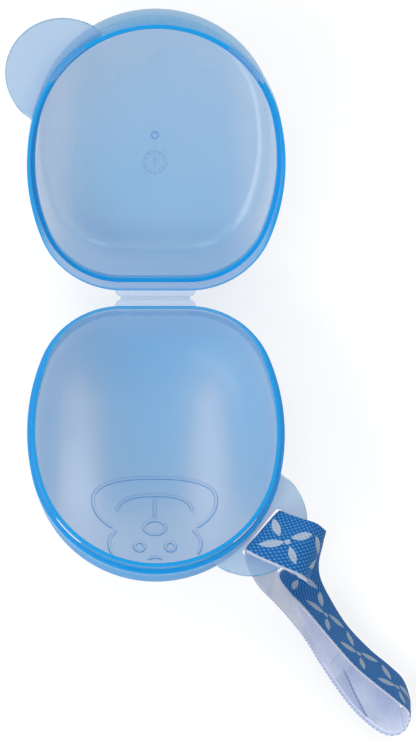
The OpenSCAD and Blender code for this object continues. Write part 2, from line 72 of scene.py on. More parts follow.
EAR_R, EAR_X, EAR_FROM_END, EAR_T, EAR_DOWN = 18.4, 30.2, 17.8, 1.6, 0.4
SLOT_W, SLOT_GAP, SLOT_ANGLE, SLOT_CLEAR = 2.6, 1.2, 1.0, 0.9
RIDGE_W, RIDGE_H, MUZZLE_FROM_END = 1.1, 0.5, 31.6
STRAP_W, STRAP_T, LAP_GAP = 17.6, 0.9, 0.1
BASE_TILT, LID_TILT = math.radians(16.5), math.radians(22)
HINGE = np.array(frame["joints"][0]["pos_m"]) / MM

LEDGE_Z = -SEAT_GAP / 2
BOWL_Z = LEDGE_Z - BAND_H
LIP_TOP = LEDGE_Z + SKIRT_H - LIP_SHORT
LID_LEDGE_Z = LEDGE_Z - SKIRT_H
TRAY_Z = LID_LEDGE_Z - BAND_H
LIP_D = -SKIRT_T - FIT_GAP
CATCH_R = BEAD_R + 0.1
CATCH_Z = -(LEDGE_Z + BEAD_UP)
CATCH_DEEP = LIP_D + CATCH_R + SKIRT_T

# ---- Rim outline: a flat at the hinge, then corner, side and far arcs, all tangent ----

RIM_Y = FILM_L / 2 + LEAF_L
CORNER_C = np.array([HINGE_FLAT / 2, RIM_Y + CORNER_R])
SIDE_TURN = -math.acos((CORNER_C[0] + SIDE_R - RIM_W / 2) / (SIDE_R - CORNER_R))
SIDE_C = CORNER_C - (SIDE_R - CORNER_R) * np.array([math.cos(SIDE_TURN), math.sin(SIDE_TURN)])
FAR_DROP = SIDE_C[1] - RIM_Y - RIM_L
FAR_R = (SIDE_R ** 2 - SIDE_C[0] ** 2 - FAR_DROP ** 2) / (2 * (SIDE_R + FAR_DROP))
FAR_C = np.array([0, RIM_Y + RIM_L - FAR_R])
FAR_TURN = math.atan2(FAR_C[1] - SIDE_C[1], FAR_C[0] - SIDE_C[0])
MID_C = np.array([0, RIM_Y + RIM_L / 2])


def arc(centre, radius, start, end, count):
    """Points on a circle, from one angle to another in equal steps."""
    turn = np.linspace(start, end, count)
    return centre + radius * np.stack([np.cos(turn), np.sin(turn)], -1)


def outline(offset):
    """The rim's outline moved outward by offset, anticlockwise from the hinge flat's middle."""
    flat = np.stack([np.linspace(0, CORNER_C[0], 7)[:-1], np.full(6, RIM_Y - offset)], -1)
    half = np.concatenate([
        flat,
        arc(CORNER_C, CORNER_R + offset, -math.pi / 2, SIDE_TURN, 64)[:-1],
        arc(SIDE_C, SIDE_R + offset, SIDE_TURN, FAR_TURN, 44)[:-1],
        arc(FAR_C, FAR_R + offset, FAR_TURN, math.pi / 2, 84)])
    return np.concatenate([half, half[-2:0:-1] * [-1, 1]])


# ---- The shells' own frames: X across, Y outward from the hinge line, Z up through the rim ----

def tilted(points, tilt):
    """Points turned about the hinge line, so that the far end rises."""
    x, y, z = np.moveaxis(np.asarray(points, float), -1, 0)
    c, s = math.cos(tilt), math.sin(tilt)
    return np.stack([x, y * c - z * s, y * s + z * c], -1)


def in_lid(points):
    """Points of the lid's own frame, placed in the scene."""
    return tilted(points, LID_TILT) + HINGE


def in_base(points):
    """Points of the base's own frame, placed in the scene: its outward side is towards -Y."""
    return tilted(points, BASE_TILT) * [-1, -1, 1] + HINGE


def smooth(t):
    """0 below 0, 1 above 1, and an S curve between."""
    t = np.clip(t, 0, 1)
    return t * t * (3 - 2 * t)


def fade_in(value, start, length):
    """0 up to a start, 1 from a length beyond it, and an S curve between."""
    return smooth((value - start) / length)


# ---- Meshes ----

EDGE_TURN = math.radians(38)    # a sharper turn than this shows as an edge
SAME_PLACE = 0.00001            # metres


def place_object(name, data):
    """A new object at the origin that shows a mesh, a lamp or a camera."""
    placed = bpy.data.objects.new(name, data)
    bpy.context.scene.collection.objects.link(placed)
    return placed


def make_object(name, points, faces, values):
    """A mesh object from points in millimetres, with how deep the plastic is at each."""
    mesh = bpy.data.meshes.new(name)
    mesh.from_pydata((np.asarray(points) * MM).tolist(), [], [list(f) for f in faces])
    mesh.shade_smooth()
    mesh.set_sharp_from_angle(angle=EDGE_TURN)
    mesh.attributes.new("depth", "FLOAT", "POINT").data.foreach_set(
        "value", np.asarray(values, np.float32).ravel())
    mesh.update()
    return place_object(name, mesh)


def ring_faces(count, around, loop):
    """Quads between rings that close on themselves; loop joins the last ring to the first."""
    i = np.arange(count if loop else count - 1)[:, None]
    k = np.arange(around)[None, :]
    j, m = (i + 1) % count, (k + 1) % around
    quads = [i * around + k, i * around + m, j * around + m, j * around + k]
    return np.stack(quads, -1).reshape(-1, 4)


def skin(name, rings, values, place, loop=False, first=None, last=None):
    """Rings of points joined in order, anticlockwise seen from the end they lead to, with a pole
    at either end where one is given."""
    rings = np.asarray(rings, float)
    count, around = rings.shape[:2]
    values = np.broadcast_to(values, (count, around)).ravel()
    points = rings.reshape(-1, 3)
    faces = list(ring_faces(count, around, loop))
    turn = np.arange(around)
    after = (turn + 1) % around
    for pole, ring, order in ((first, 0, 1), (last, count - 1, -1)):
        if pole is None:
            continue
        row = ring * around
        pairs = np.stack([after, turn] if order == 1 else [turn, after], -1) + row
        faces += [(len(points), *p) for p in pairs]
        points = np.concatenate([points, [pole]])
        values = np.append(values, values[row])
    return make_object(name, place(points), faces, values)


def add_tube(points, faces, rings, loop=False):
    """Adds rings joined in order to lists of points and faces, with flat ends unless they loop."""
    count, around = rings.shape[:2]
    start = len(points)
    points += list(rings.reshape(-1, 3))
    faces += list(ring_faces(count, around, loop) + start)
    if not loop:
        end = start + np.arange(around)
        faces += [end[::-1], end + (count - 1) * around]


def rounded(corners, steps=5):
    """A closed profile through corners of [offset, z, radius, near, far], each rounded by its
    radius. Returns the points and the depths of the plastic there, at the hinge end and at the far
    end."""
    corners = np.array(corners, float)
    at = corners[:, :2]
    points, depths = [], []
    for before, here, after, radius, depth in zip(
            np.roll(at, 1, 0), at, np.roll(at, -1, 0), corners[:, 2], corners[:, 3:]):
        a = (before - here) / np.linalg.norm(before - here)
        b = (after - here) / np.linalg.norm(after - here)
        half = math.acos(np.clip(a @ b, -1, 1)) / 2
        if radius == 0 or half > 1.5:
            points.append(here)
            depths.append(depth)
            continue
        reach = radius / math.tan(half)
        centre = here + (a + b) / np.linalg.norm(a + b) * radius / math.sin(half)
        start, end = here + a * reach - centre, here + b * reach - centre
        for t in np.linspace(0, 1, steps):
            way = start * (1 - t) + end * t
            points.append(centre + way / np.linalg.norm(way) * radius)
            depths.append(depth)
    return np.array(points), np.array(depths)


def rim_rings(points):
    """Each profile point [offset, z] carried once round the rim's outline."""
    return np.array([np.column_stack([outline(d), np.full(len(outline(0)), z)]) for d, z in points])


def farness():
    """0 along the hinge's flat and 1 from a third of the way up the sides."""
    return smooth((outline(0)[:, 1] - RIM_Y - 1) / (RIM_L * 0.3))


def shell_places(points):
    """Share of the way from the hinge to the far end, and distance from the middle line."""
    return (points[..., 1] - RIM_Y) / RIM_L, np.abs(points[..., 0])


BASE_FAR_DEPTH, LID_FAR_DEPTH = 0.8, 0.5


def far_skin(points, depth, far):
    """Deeper on the outer skin below the far end of the rim, where it is seen through the length
    of the wall."""
    along = shell_places(points)[0]
    share = fade_in(along, 0.68, 0.2) * fade_in(points[..., 2], -27, 8)
    return depth * (1 - share) + far * share


def lid_depth_and_light(points, floor_z):
    """The lid's colour level: deeper beside the hinge, paler towards the sides of the floor, and
    pale on the walls away from the hinge, a painted highlight.
    """
    along, aside = shell_places(points)
    up_wall = fade_in(points[..., 2] - floor_z, 1.5, 9)
    floor = 0.34 - 0.1 * fade_in(along, 0.12, 0.75)
    floor = floor - 0.6 * (floor - 0.1) * fade_in(aside, 20, 13)
    # Painted highlight: the walls are pale, except beside the hinge
    wall = 0.07 + 0.26 * (1 - fade_in(along, 0.04, 0.22))
    return floor * (1 - up_wall) + wall * up_wall


HIGHLIGHT_SHIFT = 3.4     # the light falls from one side, so the painted highlight bands lie off the middle line
HIGHLIGHT_FROM_MIDDLE, HIGHLIGHT_WIDTH = 21.8, 8.5


def base_depth_and_light(points):
    """The base's colour level: deep along the middle, with a painted highlight on either side, a
    soft pale band that runs on into the pale face, and deep again towards the sides."""
    along, aside = shell_places(points)
    # Painted highlight: the soft pale bands stand in for the reflections of the soft boxes
    from_highlight = np.abs(points[..., 0] - HIGHLIGHT_SHIFT) - HIGHLIGHT_FROM_MIDDLE
    band = np.exp(-(from_highlight / HIGHLIGHT_WIDTH) ** 2)
    band *= fade_in(along, 0.04, 0.25) * (1 - 0.55 * fade_in(along, 0.6, 0.25))
    depth = 0.42 - 0.13 * fade_in(along, 0.1, 0.8) - 0.3 * band
    depth = depth * (1 - 0.35 * fade_in(along, 0.55, 0.25))
    side = fade_in(aside, 30, 7)
    return np.maximum(depth * (1 - side) + 0.36 * side, 0.03)


def two_sided(piece, outer):
    """Gives a shell's outer skin, its first rings and its first pole, the duller plastic."""
    count, around = outer.shape[:2]
    index = np.zeros(len(piece.data.polygons), np.int32)
    index[:(count - 1) * around] = 1
    index[-2 * around:-around] = 1
    piece.data.materials.append(OUTSIDE)
    piece.data.polygons.foreach_set("material_index", index)


def finish_piece(piece, body, slot, material, *nodes):
    """The material, the body it moves with and the nodes it stands for. Its slot in the record is
    not used.
    """
    piece.data.materials.append(material)
    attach(piece, body)
    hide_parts(*nodes)


# ---- Materials ----

def srgb(red, green, blue):
    """A display colour of 0 to 255 as linear light."""
    c = np.array([red, green, blue]) / 255
    return (*np.where(c < 0.04045, c / 12.92, ((c + 0.055) / 1.055) ** 2.4), 1.0)


def new_group(name, inputs, outputs):
    """An empty node group with its two ends. Its inputs have a label, a kind and a default, and
    its outputs are numbers."""
    group = bpy.data.node_groups.new(name, "ShaderNodeTree")
    for label, kind, default in inputs:
        socket = group.interface.new_socket(
            label, in_out="INPUT", socket_type="NodeSocket" + kind)
        if default is not None:
            socket.default_value = default
    for label in outputs:
        group.interface.new_socket(label, in_out="OUTPUT", socket_type="NodeSocketFloat")
    return group, group.nodes.new("NodeGroupInput"), group.nodes.new("NodeGroupOutput")


def set_inputs(tree, node, inputs):
    """Sets a node's inputs, by name or by place, each to a value or to another node's output."""
    for label, value in inputs.items():
        if isinstance(value, bpy.types.NodeSocket):
            tree.links.new(value, node.inputs[label])
        else:
            node.inputs[label].default_value = value


def add_node(tree, kind, inputs=None, **settings):
    """A new shader node with its settings and its inputs."""
    node = tree.nodes.new("ShaderNode" + kind)
    for label, value in settings.items():
        setattr(node, label, value)
    set_inputs(tree, node, inputs or {})
    return node


def math_node(tree, operation, *values, clamp=False):
    """The result of one Math node; each input is a node's output or a number."""
    node = add_node(tree, "Math", dict(enumerate(values)), operation=operation, use_clamp=clamp)
    return node.outputs[0]


def soft_step(tree, value, steepness):
    """0 well below 0, 1 well above it, and a straight slope between."""
    return math_node(tree, "MULTIPLY_ADD", value, steepness, 0.5, clamp=True)


def mix(tree, share, first, second):
    """The first colour where share is 0 and the second where it is 1."""
    node = add_node(tree, "Mix", {"Factor": share, 6: first, 7: second}, data_type="RGBA")
    return node.outputs[2]


def ramp(tree, level, stops, between="B_SPLINE"):
    """A colour that follows a level, through stops of place and colour."""
    node = add_node(tree, "ValToRGB", {"Fac": level})
    node.color_ramp.interpolation = between
    elements = node.color_ramp.elements
    while len(elements) < len(stops):
        elements.new(0.5)
    for element, (place, colour) in zip(elements, stops):
        element.position = place
        element.color = colour
    return node.outputs["Color"]


def object_place(tree):
    """Coordinates in metres from the object's origin."""
    return add_node(tree, "TexCoord").outputs["Object"]


def new_material(name):
    """A material with its node tree and its Principled shader."""
    material = bpy.data.materials.new(name)
    material.use_nodes = True
    return material, material.node_tree, material.node_tree.nodes["Principled BSDF"]


def haze_group():
    """Cloudy variation and fine flow marks of moulded plastic, from object coordinates."""
    group, start, end = new_group(
        "moulded_haze", [("Cloud size", "Float", 40.0), ("Grain size", "Float", 900.0)],
        ["Cloud", "Grain"])
    place = object_place(group)
    for label, detail in (("Cloud", 2.0), ("Grain", 4.0)):
        noise = add_node(group, "TexNoise", {
            "Vector": place, "Scale": start.outputs[label + " size"], "Detail": detail})
        set_inputs(group, end, {label: noise.outputs["Fac"]})
    return group


HAZE = haze_group()
PLASTIC_IOR, COAT_ROUGHNESS = 1.49, 0.24
CLOUD_SWING, GRAIN_SWING = 0.12, 0.1     # how far they move the depth and the roughness
GRAIN_BUMP, GRAIN_HEIGHT = 0.05, 0.0001  # strength, and height in metres

# Plastic seen through more and more of itself, from a thin plate to the length of a wall:
# the share of the way, how much it hides what lies behind, and its colour
PLASTIC_STOPS = (
    (0.0, 0.46, (172, 206, 238)),
    (0.12, 0.46, (148, 188, 224)),
    (0.25, 0.48, (98, 172, 218)),
    (0.5, 0.52, (34, 170, 226)),
    (0.75, 0.85, (8, 152, 224)),
    (1.0, 1.0, (0, 148, 218)),
)
# The rim's many faces lie one behind another, so its pale ones hide less
RIM_STOPS = [(place, hides * min(1, 0.5 + place), rgb) for place, hides, rgb in PLASTIC_STOPS]
# The same for a raised line, which shows only where its sides are steep
LINE_STOPS = (
    (0.0, 0.0, (160, 184, 214)),
    (0.3, 0.34, (56, 160, 206)),
    (0.6, 0.8, (12, 136, 196)),
    (1.0, 0.95, (4, 122, 200)),
)


def plastic(name, roughness, specular, stops=PLASTIC_STOPS, share=1.0, glow=0.12):
    """Translucent polypropylene. Colour and cover follow the depth kept in the mesh, by the stops,
    share thins the cover, and glow is painted light: an emission in the plastic's own colour that
    lifts its shade."""
    material, tree, shader = new_material(name)
    haze = add_node(tree, "Group", node_tree=HAZE)
    cloud, grain = haze.outputs["Cloud"], haze.outputs["Grain"]
    depth = add_node(tree, "Attribute", attribute_name="depth")
    swing = math_node(tree, "MULTIPLY_ADD", cloud, CLOUD_SWING, -CLOUD_SWING / 2)
    level = math_node(tree, "ADD", depth.outputs["Fac"], swing)
    colour = ramp(tree, level, [(place, srgb(*rgb)) for place, hides, rgb in stops])
    cover = ramp(tree, level, [(place, (hides * share,) * 3 + (1,)) for place, hides, rgb in stops])
    rough = math_node(tree, "MULTIPLY_ADD", grain, GRAIN_SWING, roughness - GRAIN_SWING / 2)
    bump = add_node(tree, "Bump", {
        "Strength": GRAIN_BUMP, "Distance": GRAIN_HEIGHT, "Height": grain})
    set_inputs(tree, shader, {
        "Base Color": colour, "Alpha": cover, "Roughness": rough, "IOR": PLASTIC_IOR,
        "Specular IOR Level": specular, "Coat Weight": specular,
        "Coat Roughness": COAT_ROUGHNESS, "Normal": bump.outputs["Normal"],
        "Emission Color": colour, "Emission Strength": glow})
    return material


def plain(name, colour, roughness):
    """A smooth finish of one colour."""
    material, tree, shader = new_material(name)
    set_inputs(tree, shader, {"Base Color": srgb(*colour), "Roughness": roughness})
    return material


# Each glow is painted light that lifts the shade; the relief's and the rim's are stronger, to pale
# their shaded faces
SHELL = plastic("shell_plastic", 0.2, 0.8)
BOWL = plastic("bowl_plastic", 0.34, 0.2)
OUTSIDE = plastic("outside_plastic", 0.4, 0.08)
RELIEF = plastic("relief_plastic", 0.3, 0.4, LINE_STOPS, glow=0.3)
RIM = plastic("rim_plastic", 0.22, 0.15, RIM_STOPS, glow=0.16)
EAR = plastic("ear_plastic", 0.35, 0.12, share=1.2, glow=0.02)
LEAF_PLASTIC = plastic("leaf_plastic", 0.35, 0.3, share=0.75)
GATE = plain("gate_plastic", (124, 170, 222), 0.3)
DIAL = plain("dial_plastic", (146, 186, 226), 0.3)
# Painted highlight: the snap beads are near white all over, standing in for their glint
GLINT = plain("bead_painted_glint", (226, 238, 248), 0.15)


# ---- Base shell ----

BOWL_H_OUT = BASE_DEPTH - BAND_H
BOWL_H_IN = BOWL_H_OUT - WALL
BOWL_RINGS, CURVE_SAMPLES = 56, 600


def bowl_curve(count):
    """Share of the outline left and share of the depth reached, down a superellipse, at equal steps
    along its length."""
    turn = np.linspace(0, math.pi / 2, CURVE_SAMPLES)
    share, deep = np.cos(turn) ** (2 / BOWL_POWER), np.sin(turn) ** (2 / BOWL_POWER)
    step = np.hypot(np.diff(share) * RIM_W / 2, np.diff(deep) * BASE_DEPTH)
    length = np.append(0, np.cumsum(step))
    even = np.linspace(0, length[-1], count + 1)[:-1]
    return np.interp(even, length, share), np.interp(even, length, deep)


def bowl_side(offset, height):
    """Rings of the outline shrunk towards the shell's middle, going down to the bottom."""
    ring = outline(offset)
    return np.array([
        np.column_stack([MID_C + s * (ring - MID_C), np.full(len(ring), BOWL_Z - height * h)])
        for s, h in zip(*bowl_curve(BOWL_RINGS))])


def base_shell():
    """The domed bowl: its outer face from the bottom's pole up, then its inner face down again."""
    outer = bowl_side(-WALL_INSET, BOWL_H_OUT)[::-1]
    inner = bowl_side(-WALL_INSET - WALL, BOWL_H_IN)
    rings = np.concatenate([outer, inner])
    depth = np.concatenate([
        far_skin(outer, base_depth_and_light(outer), BASE_FAR_DEPTH), base_depth_and_light(inner)])
    piece = skin("base_shell", rings, depth, in_base,
                 first=[*MID_C, BOWL_Z - BOWL_H_OUT], last=[*MID_C, BOWL_Z - BOWL_H_IN])
    finish_piece(piece, "base", "shell_plastic", BOWL, "base_bowl")
    two_sided(piece, outer)


def rim_piece(name, corners, place, extra=None):
    """A rim's closed profile carried round the outline. extra changes rings and depths in place."""
    profile, depths = rounded(corners)
    far = farness()
    values = depths[:, :1] * (1 - far) + depths[:, 1:] * far
    rings = rim_rings(profile)
    if extra:
        extra(profile, rings, values)
    return skin(name, rings, values, place, loop=True)


def base_rim():
    """The base's band, ledge and lip."""
    # [offset, z, radius, depth at the hinge, depth at the far end]
    corners = [
        [-WALL_INSET, BOWL_Z, 0, 0.3, 0.4],
        [0, BOWL_Z, 0.3, 0.3, 0.5],
        [0, LEDGE_Z - 1.4, 0, 0.35, 0.9],
        [0, LEDGE_Z, 0.3, 1, 1],
        [LIP_D, LEDGE_Z, 0.15, 0.9, 1],
        # Low depths on the lip's faces at the hinge are painted light, which pales the shade that
        # falls there
        [LIP_D, LEDGE_Z + 0.7, 0, 0.2, 0.5],
        [LIP_D, LIP_TOP - 0.6, 0, 0.2, 0.5],
        [LIP_D, LIP_TOP, 0.25, 0.5, 1],
        [LIP_D - 0.3, LIP_TOP, 0, 0.3, 1],
        [-RIM_T + 0.3, LIP_TOP, 0, 0.3, 1],
        [-RIM_T, LIP_TOP, 0.25, 0.2, 1],
        [-RIM_T, LIP_TOP - 0.9, 0, 0.1, 0.6],
        [-RIM_T, LIP_TOP - 3.2, 0, 0.1, 0.4],
        [-RIM_T, LIP_TOP - 3.9, 0, 0.5, 0.35],
        [-RIM_T, LIP_TOP - 4.5, 0, 0.2, 0.3],
        [-RIM_T, BOWL_Z, 0, 0.2, 0.15],
    ]
    piece = rim_piece("base_rim", corners, in_base)
    finish_piece(piece, "base", "rim_plastic", RIM, "base_band", "base_lip")


BEAD_RINGS = 40
BEAD_DEPTH = 0.02      # how deep its plastic looks
BEAD_ROOT = 0.05       # how far it is sunk into the lip


def beads():
    """Two snap beads: half rounds that swell and fade along the lip's outer face, by the sixth
    power of the share of their half length."""
    span = BEAD_L / FAR_R / 2
    turn = np.radians(BEAD_ANGLE) + np.linspace(-span, span, BEAD_RINGS)[:, None]
    fade = 1 - np.abs(np.linspace(-1, 1, BEAD_RINGS)[:, None]) ** 6
    swell = BEAD_R * np.sqrt(np.clip(fade, 0.02, 1))
    around = np.linspace(-math.pi / 2, math.pi / 2, 9)
    out = FAR_R + LIP_D - BEAD_ROOT + swell * np.cos(around)
    up = LEDGE_Z + BEAD_UP + swell * np.sin(around)
    for name, side in (("right_bead", 1), ("left_bead", -1)):
        rings = np.stack([side * (FAR_C[0] + out * np.cos(turn)),
                          FAR_C[1] + out * np.sin(turn), up], -1)[:, ::-side]
        piece = skin(name, rings, BEAD_DEPTH, in_base,
                     first=rings[0].mean(0), last=rings[-1].mean(0))
        # The beads take the near-white painted glint
        finish_piece(piece, "base", "rim_plastic", GLINT, "base_beads")


# ---- Lid shell ----

WALL_RINGS, TURN_RINGS, FLOOR_RINGS = 22, 13, 33
WINDOW_DEPTH = 0.04    # how deep the plastic looks where the windows are cut


def tray_profile(thick):
    """Offset and z from the band down the drafted wall and round the turn into the floor."""
    radius, foot = FLOOR_R - thick, -WALL_INSET - LID_DRAFT - thick
    low = LEDGE_Z - LID_DEPTH + thick
    turn = np.linspace(0, math.pi / 2, TURN_RINGS)
    bend = np.column_stack([foot - radius * (1 - np.cos(turn)), low + radius * (1 - np.sin(turn))])
    wall = np.linspace([-WALL_INSET - thick, TRAY_Z], bend[0], WALL_RINGS)[:-1]
    return np.concatenate([wall, bend])


def tray_side(thick):
    """Rings down the wall and turn, then across the flat floor to its middle."""
    rings = rim_rings(tray_profile(thick))
    edge = rings[-1]
    middle = np.array([*MID_C, edge[0, 2]])
    shares = np.linspace(1, 0, FLOOR_RINGS)[1:-1, None, None]
    floor = middle + (edge - middle) * shares
    return np.concatenate([rings, floor]), middle


def lid_shell():
    """The lid's tray: from the middle of its floor's outer face up the wall and down inside."""
    outer, low = tray_side(0)
    inner, high = tray_side(WALL)
    rings = np.concatenate([outer[::-1], inner])
    outer_depth = far_skin(outer, lid_depth_and_light(outer, low[2]), LID_FAR_DEPTH)
    depth = np.concatenate([outer_depth[::-1], lid_depth_and_light(inner, high[2])])
    piece = skin("lid_shell", rings, depth, in_lid, first=low, last=high)
    finish_piece(piece, "lid", "shell_plastic", SHELL, "lid_tray")
    two_sided(piece, outer)


def beside_beads(length, fade):
    """1 within a length round the outline centred on either snap bead, and 0 outside."""
    ring = outline(0) - FAR_C
    turn = np.degrees(np.arctan2(ring[:, 1], np.abs(ring[:, 0])))
    away = np.abs(turn - BEAD_ANGLE) * math.pi / 180 * FAR_R
    return smooth((length / 2 - away) / fade + 0.5)


def lid_rim():
    """The lid's band, ledge and skirt, with two windows and two catches at the snap beads."""
    inner_edge, outer_edge = -RIM_T + 0.35, -SKIRT_T - 0.15     # of the ledge, for the windows
    near_edge, far_edge = -0.3, -0.85                           # of the skirt's flat end
    # [offset, z, radius, depth at the hinge, depth at the far end]
    corners = [
        [-WALL_INSET, TRAY_Z, 0, 0.45, 0.3],
        [0, TRAY_Z, 0.3, 0.5, 0.4],
        [0, LEDGE_Z - 2.6, 0, 0.6, 0.6],
        [0, LEDGE_Z, 0.15, 1, 1],
        [near_edge, LEDGE_Z, 0, 0.3, 1],
        [far_edge, LEDGE_Z, 0, 0.12, 1],
        [-SKIRT_T, LEDGE_Z, 0.15, 0.1, 0.9],
        [-SKIRT_T, CATCH_Z + CATCH_R, 0, 0.1, 0.7],
        [-SKIRT_T, CATCH_Z + CATCH_R - 0.02, 0, 0.1, 0.7],
        [-SKIRT_T, CATCH_Z - CATCH_R + 0.02, 0, 0.1, 0.7],
        [-SKIRT_T, CATCH_Z - CATCH_R, 0, 0.1, 0.7],
        [-SKIRT_T, LID_LEDGE_Z, 0.12, 0.2, 0.9],
        [outer_edge, LID_LEDGE_Z, 0, 1, 1],
        [outer_edge - 0.05, LID_LEDGE_Z, 0, 1, 1],
        [inner_edge + 0.05, LID_LEDGE_Z, 0, 1, 1],
        [inner_edge, LID_LEDGE_Z, 0, 1, 1],
        [-RIM_T, LID_LEDGE_Z, 0.25, 1, 0.95],
        [-RIM_T, LID_LEDGE_Z - 0.7, 0, 0.5, 0.35],
        [-RIM_T, TRAY_Z, 0, 0.45, 0.25],
    ]

    def cut_openings(profile, rings, values):
        """Sinks the ledge's windows and the skirt's catches, and pales the plastic there."""
        catch = np.abs(profile[:, 1] - CATCH_Z) < CATCH_R - 0.01
        rings[catch] += ((rim_rings(profile[catch] + [CATCH_DEEP, 0]) - rings[catch])
                         * beside_beads(BEAD_L + 2, 1)[:, None])
        share = beside_beads(WINDOW_L, 0.5)
        in_ledge = (np.abs(profile[:, 1] - LID_LEDGE_Z) < 0.01) & (
            profile[:, 0] < outer_edge - 0.02) & (profile[:, 0] > inner_edge + 0.02)
        rings[in_ledge, :, 2] -= WINDOW_DEEP * share
        in_end = (np.abs(profile[:, 1] - LEDGE_Z) < 0.02) & (
            np.abs(profile[:, 0] - (near_edge + far_edge) / 2) < 0.3)
        pale = in_ledge | in_end
        values[pale] = values[pale] * (1 - share) + WINDOW_DEPTH * share

    piece = rim_piece("lid_rim", corners, in_lid, cut_openings)
    finish_piece(piece, "lid", "rim_plastic", RIM, "lid_band", "lid_skirt")


# ---- Ears ----

EAR_C = np.array([-EAR_X, RIM_Y + RIM_L - EAR_FROM_END])
SLOT_TURN = math.atan2(EAR_C[1] - FAR_C[1], -EAR_C[0]) + math.radians(SLOT_ANGLE)
SLOT_R = FAR_R + SLOT_GAP + SLOT_W / 2
SLOT_HALF = (STRAP_W + 2 * SLOT_CLEAR) / 2
SLOT_OUT = np.array([-math.cos(SLOT_TURN), math.sin(SLOT_TURN)])
SLOT_ALONG = np.array([math.sin(SLOT_TURN), math.cos(SLOT_TURN)])
EAR_ROOT = 0.9         # how far the plate reaches into the rim
EAR_EASE = 0.45        # how far its edge is rounded, as a share of its thickness
EAR_COLUMNS, EAR_SPAN = 121, 0.998     # the columns stop just short of the plate's ends


def ear(name, place, z_top, slotted):
    """A round plate with an eased edge, drawn in columns square to the slot: from the rim to the
    slot's near side, then from its far side to the plate's edge."""
    centre = EAR_C - FAR_C
    u0, w0 = centre @ SLOT_ALONG, centre @ SLOT_OUT
    # u runs along the slot and w out from the middle of the far arc
    u = u0 + EAR_R * EAR_SPAN * np.sin(np.linspace(-math.pi / 2, math.pi / 2, EAR_COLUMNS))
    rim = np.sqrt((FAR_R - EAR_ROOT) ** 2 - u ** 2)
    edge = w0 + np.sqrt(EAR_R ** 2 - (u - u0) ** 2)
    bend = np.clip(np.abs(u) - (SLOT_HALF - SLOT_W / 2), 0, SLOT_W / 2)
    half = np.sqrt((SLOT_W / 2) ** 2 - bend ** 2) * slotted
    near, far = np.minimum(SLOT_R - half, edge), np.minimum(SLOT_R + half, edge)
    ease = EAR_EASE * EAR_T
    flat_end = np.maximum(edge - ease, far)
    # Across a column: the upper face, the rounded edge and the lower face back to the rim
    inner = [rim + (near - rim) * t for t in np.linspace(0, 1, 5)]
    outer = [far + (flat_end - far) * t for t in np.linspace(0, 1, 13)]
    turn = np.linspace(0, math.pi, 9)[1:-1]
    nose = [flat_end + np.minimum(ease, edge - far) * np.sin(a) for a in turn]
    w = np.array(inner + outer + nose + outer[::-1] + inner[::-1])
    face = np.ones(len(inner + outer))
    high = np.concatenate([face, np.cos(turn), -face])
    z = z_top - EAR_T / 2 + EAR_T / 2 * high[:, None] * np.ones_like(u)
    flat = FAR_C + w[..., None] * SLOT_OUT + u[:, None] * SLOT_ALONG
    points = np.concatenate([flat, z[..., None]], -1)
    count, columns = w.shape
    above, below = len(inner) - 1, count - len(inner) - 1      # the rows that the slot follows
    i, k = np.meshgrid(np.arange(count), np.arange(columns - 1), indexing="ij")
    i, j = i * columns, (i + 1) % count * columns
    quads = np.stack([i + k, j + k, j + k + 1, i + k + 1], -1)
    faces = list(np.delete(quads, [above, below], 0).reshape(-1, 4))
    if slotted:
        inside = np.nonzero((half[:-1] > 0) | (half[1:] > 0))[0]
        for top, bottom, way in ((above, below + 1, 1), (above + 1, below, -1)):
            i, j = top * columns + inside, bottom * columns + inside
            faces += list(np.stack([i, j, j + 1, i + 1], -1)[:, ::way])
    # Deeper where the plate leaves the rim and along its rounded edge
    from_rim, from_edge = w - np.sqrt(FAR_R ** 2 - u ** 2), edge - w
    depth = 0.03 + 0.08 * (1 - smooth(from_rim / 7)) + 0.25 * (1 - smooth(from_edge / 0.7))
    piece = make_object(name, place(points.reshape(-1, 3)), faces, depth)
    weld(piece)
    return piece


def weld(piece):
    """Merges points that lie together and turns the faces outward."""
    work = bmesh.new()
    work.from_mesh(piece.data)
    bmesh.ops.remove_doubles(work, verts=work.verts, dist=SAME_PLACE)
    bmesh.ops.recalc_face_normals(work, faces=work.faces)
    work.to_mesh(piece.data)
    work.free()
    piece.data.shade_smooth()
    piece.data.set_sharp_from_angle(angle=EDGE_TURN)


def ears():
    """The base's ear with the strap's slot, and the lid's plain one."""
    finish_piece(ear("base_ear_plate", in_base, LEDGE_Z - EAR_DOWN, True),
                 "base", "ear_plastic", EAR, "base_ear")
    finish_piece(ear("lid_ear_plate", in_lid, LID_LEDGE_Z - EAR_DOWN, False),
                 "lid", "ear_plastic", EAR, "lid_ear")


# ---- Hinge ----

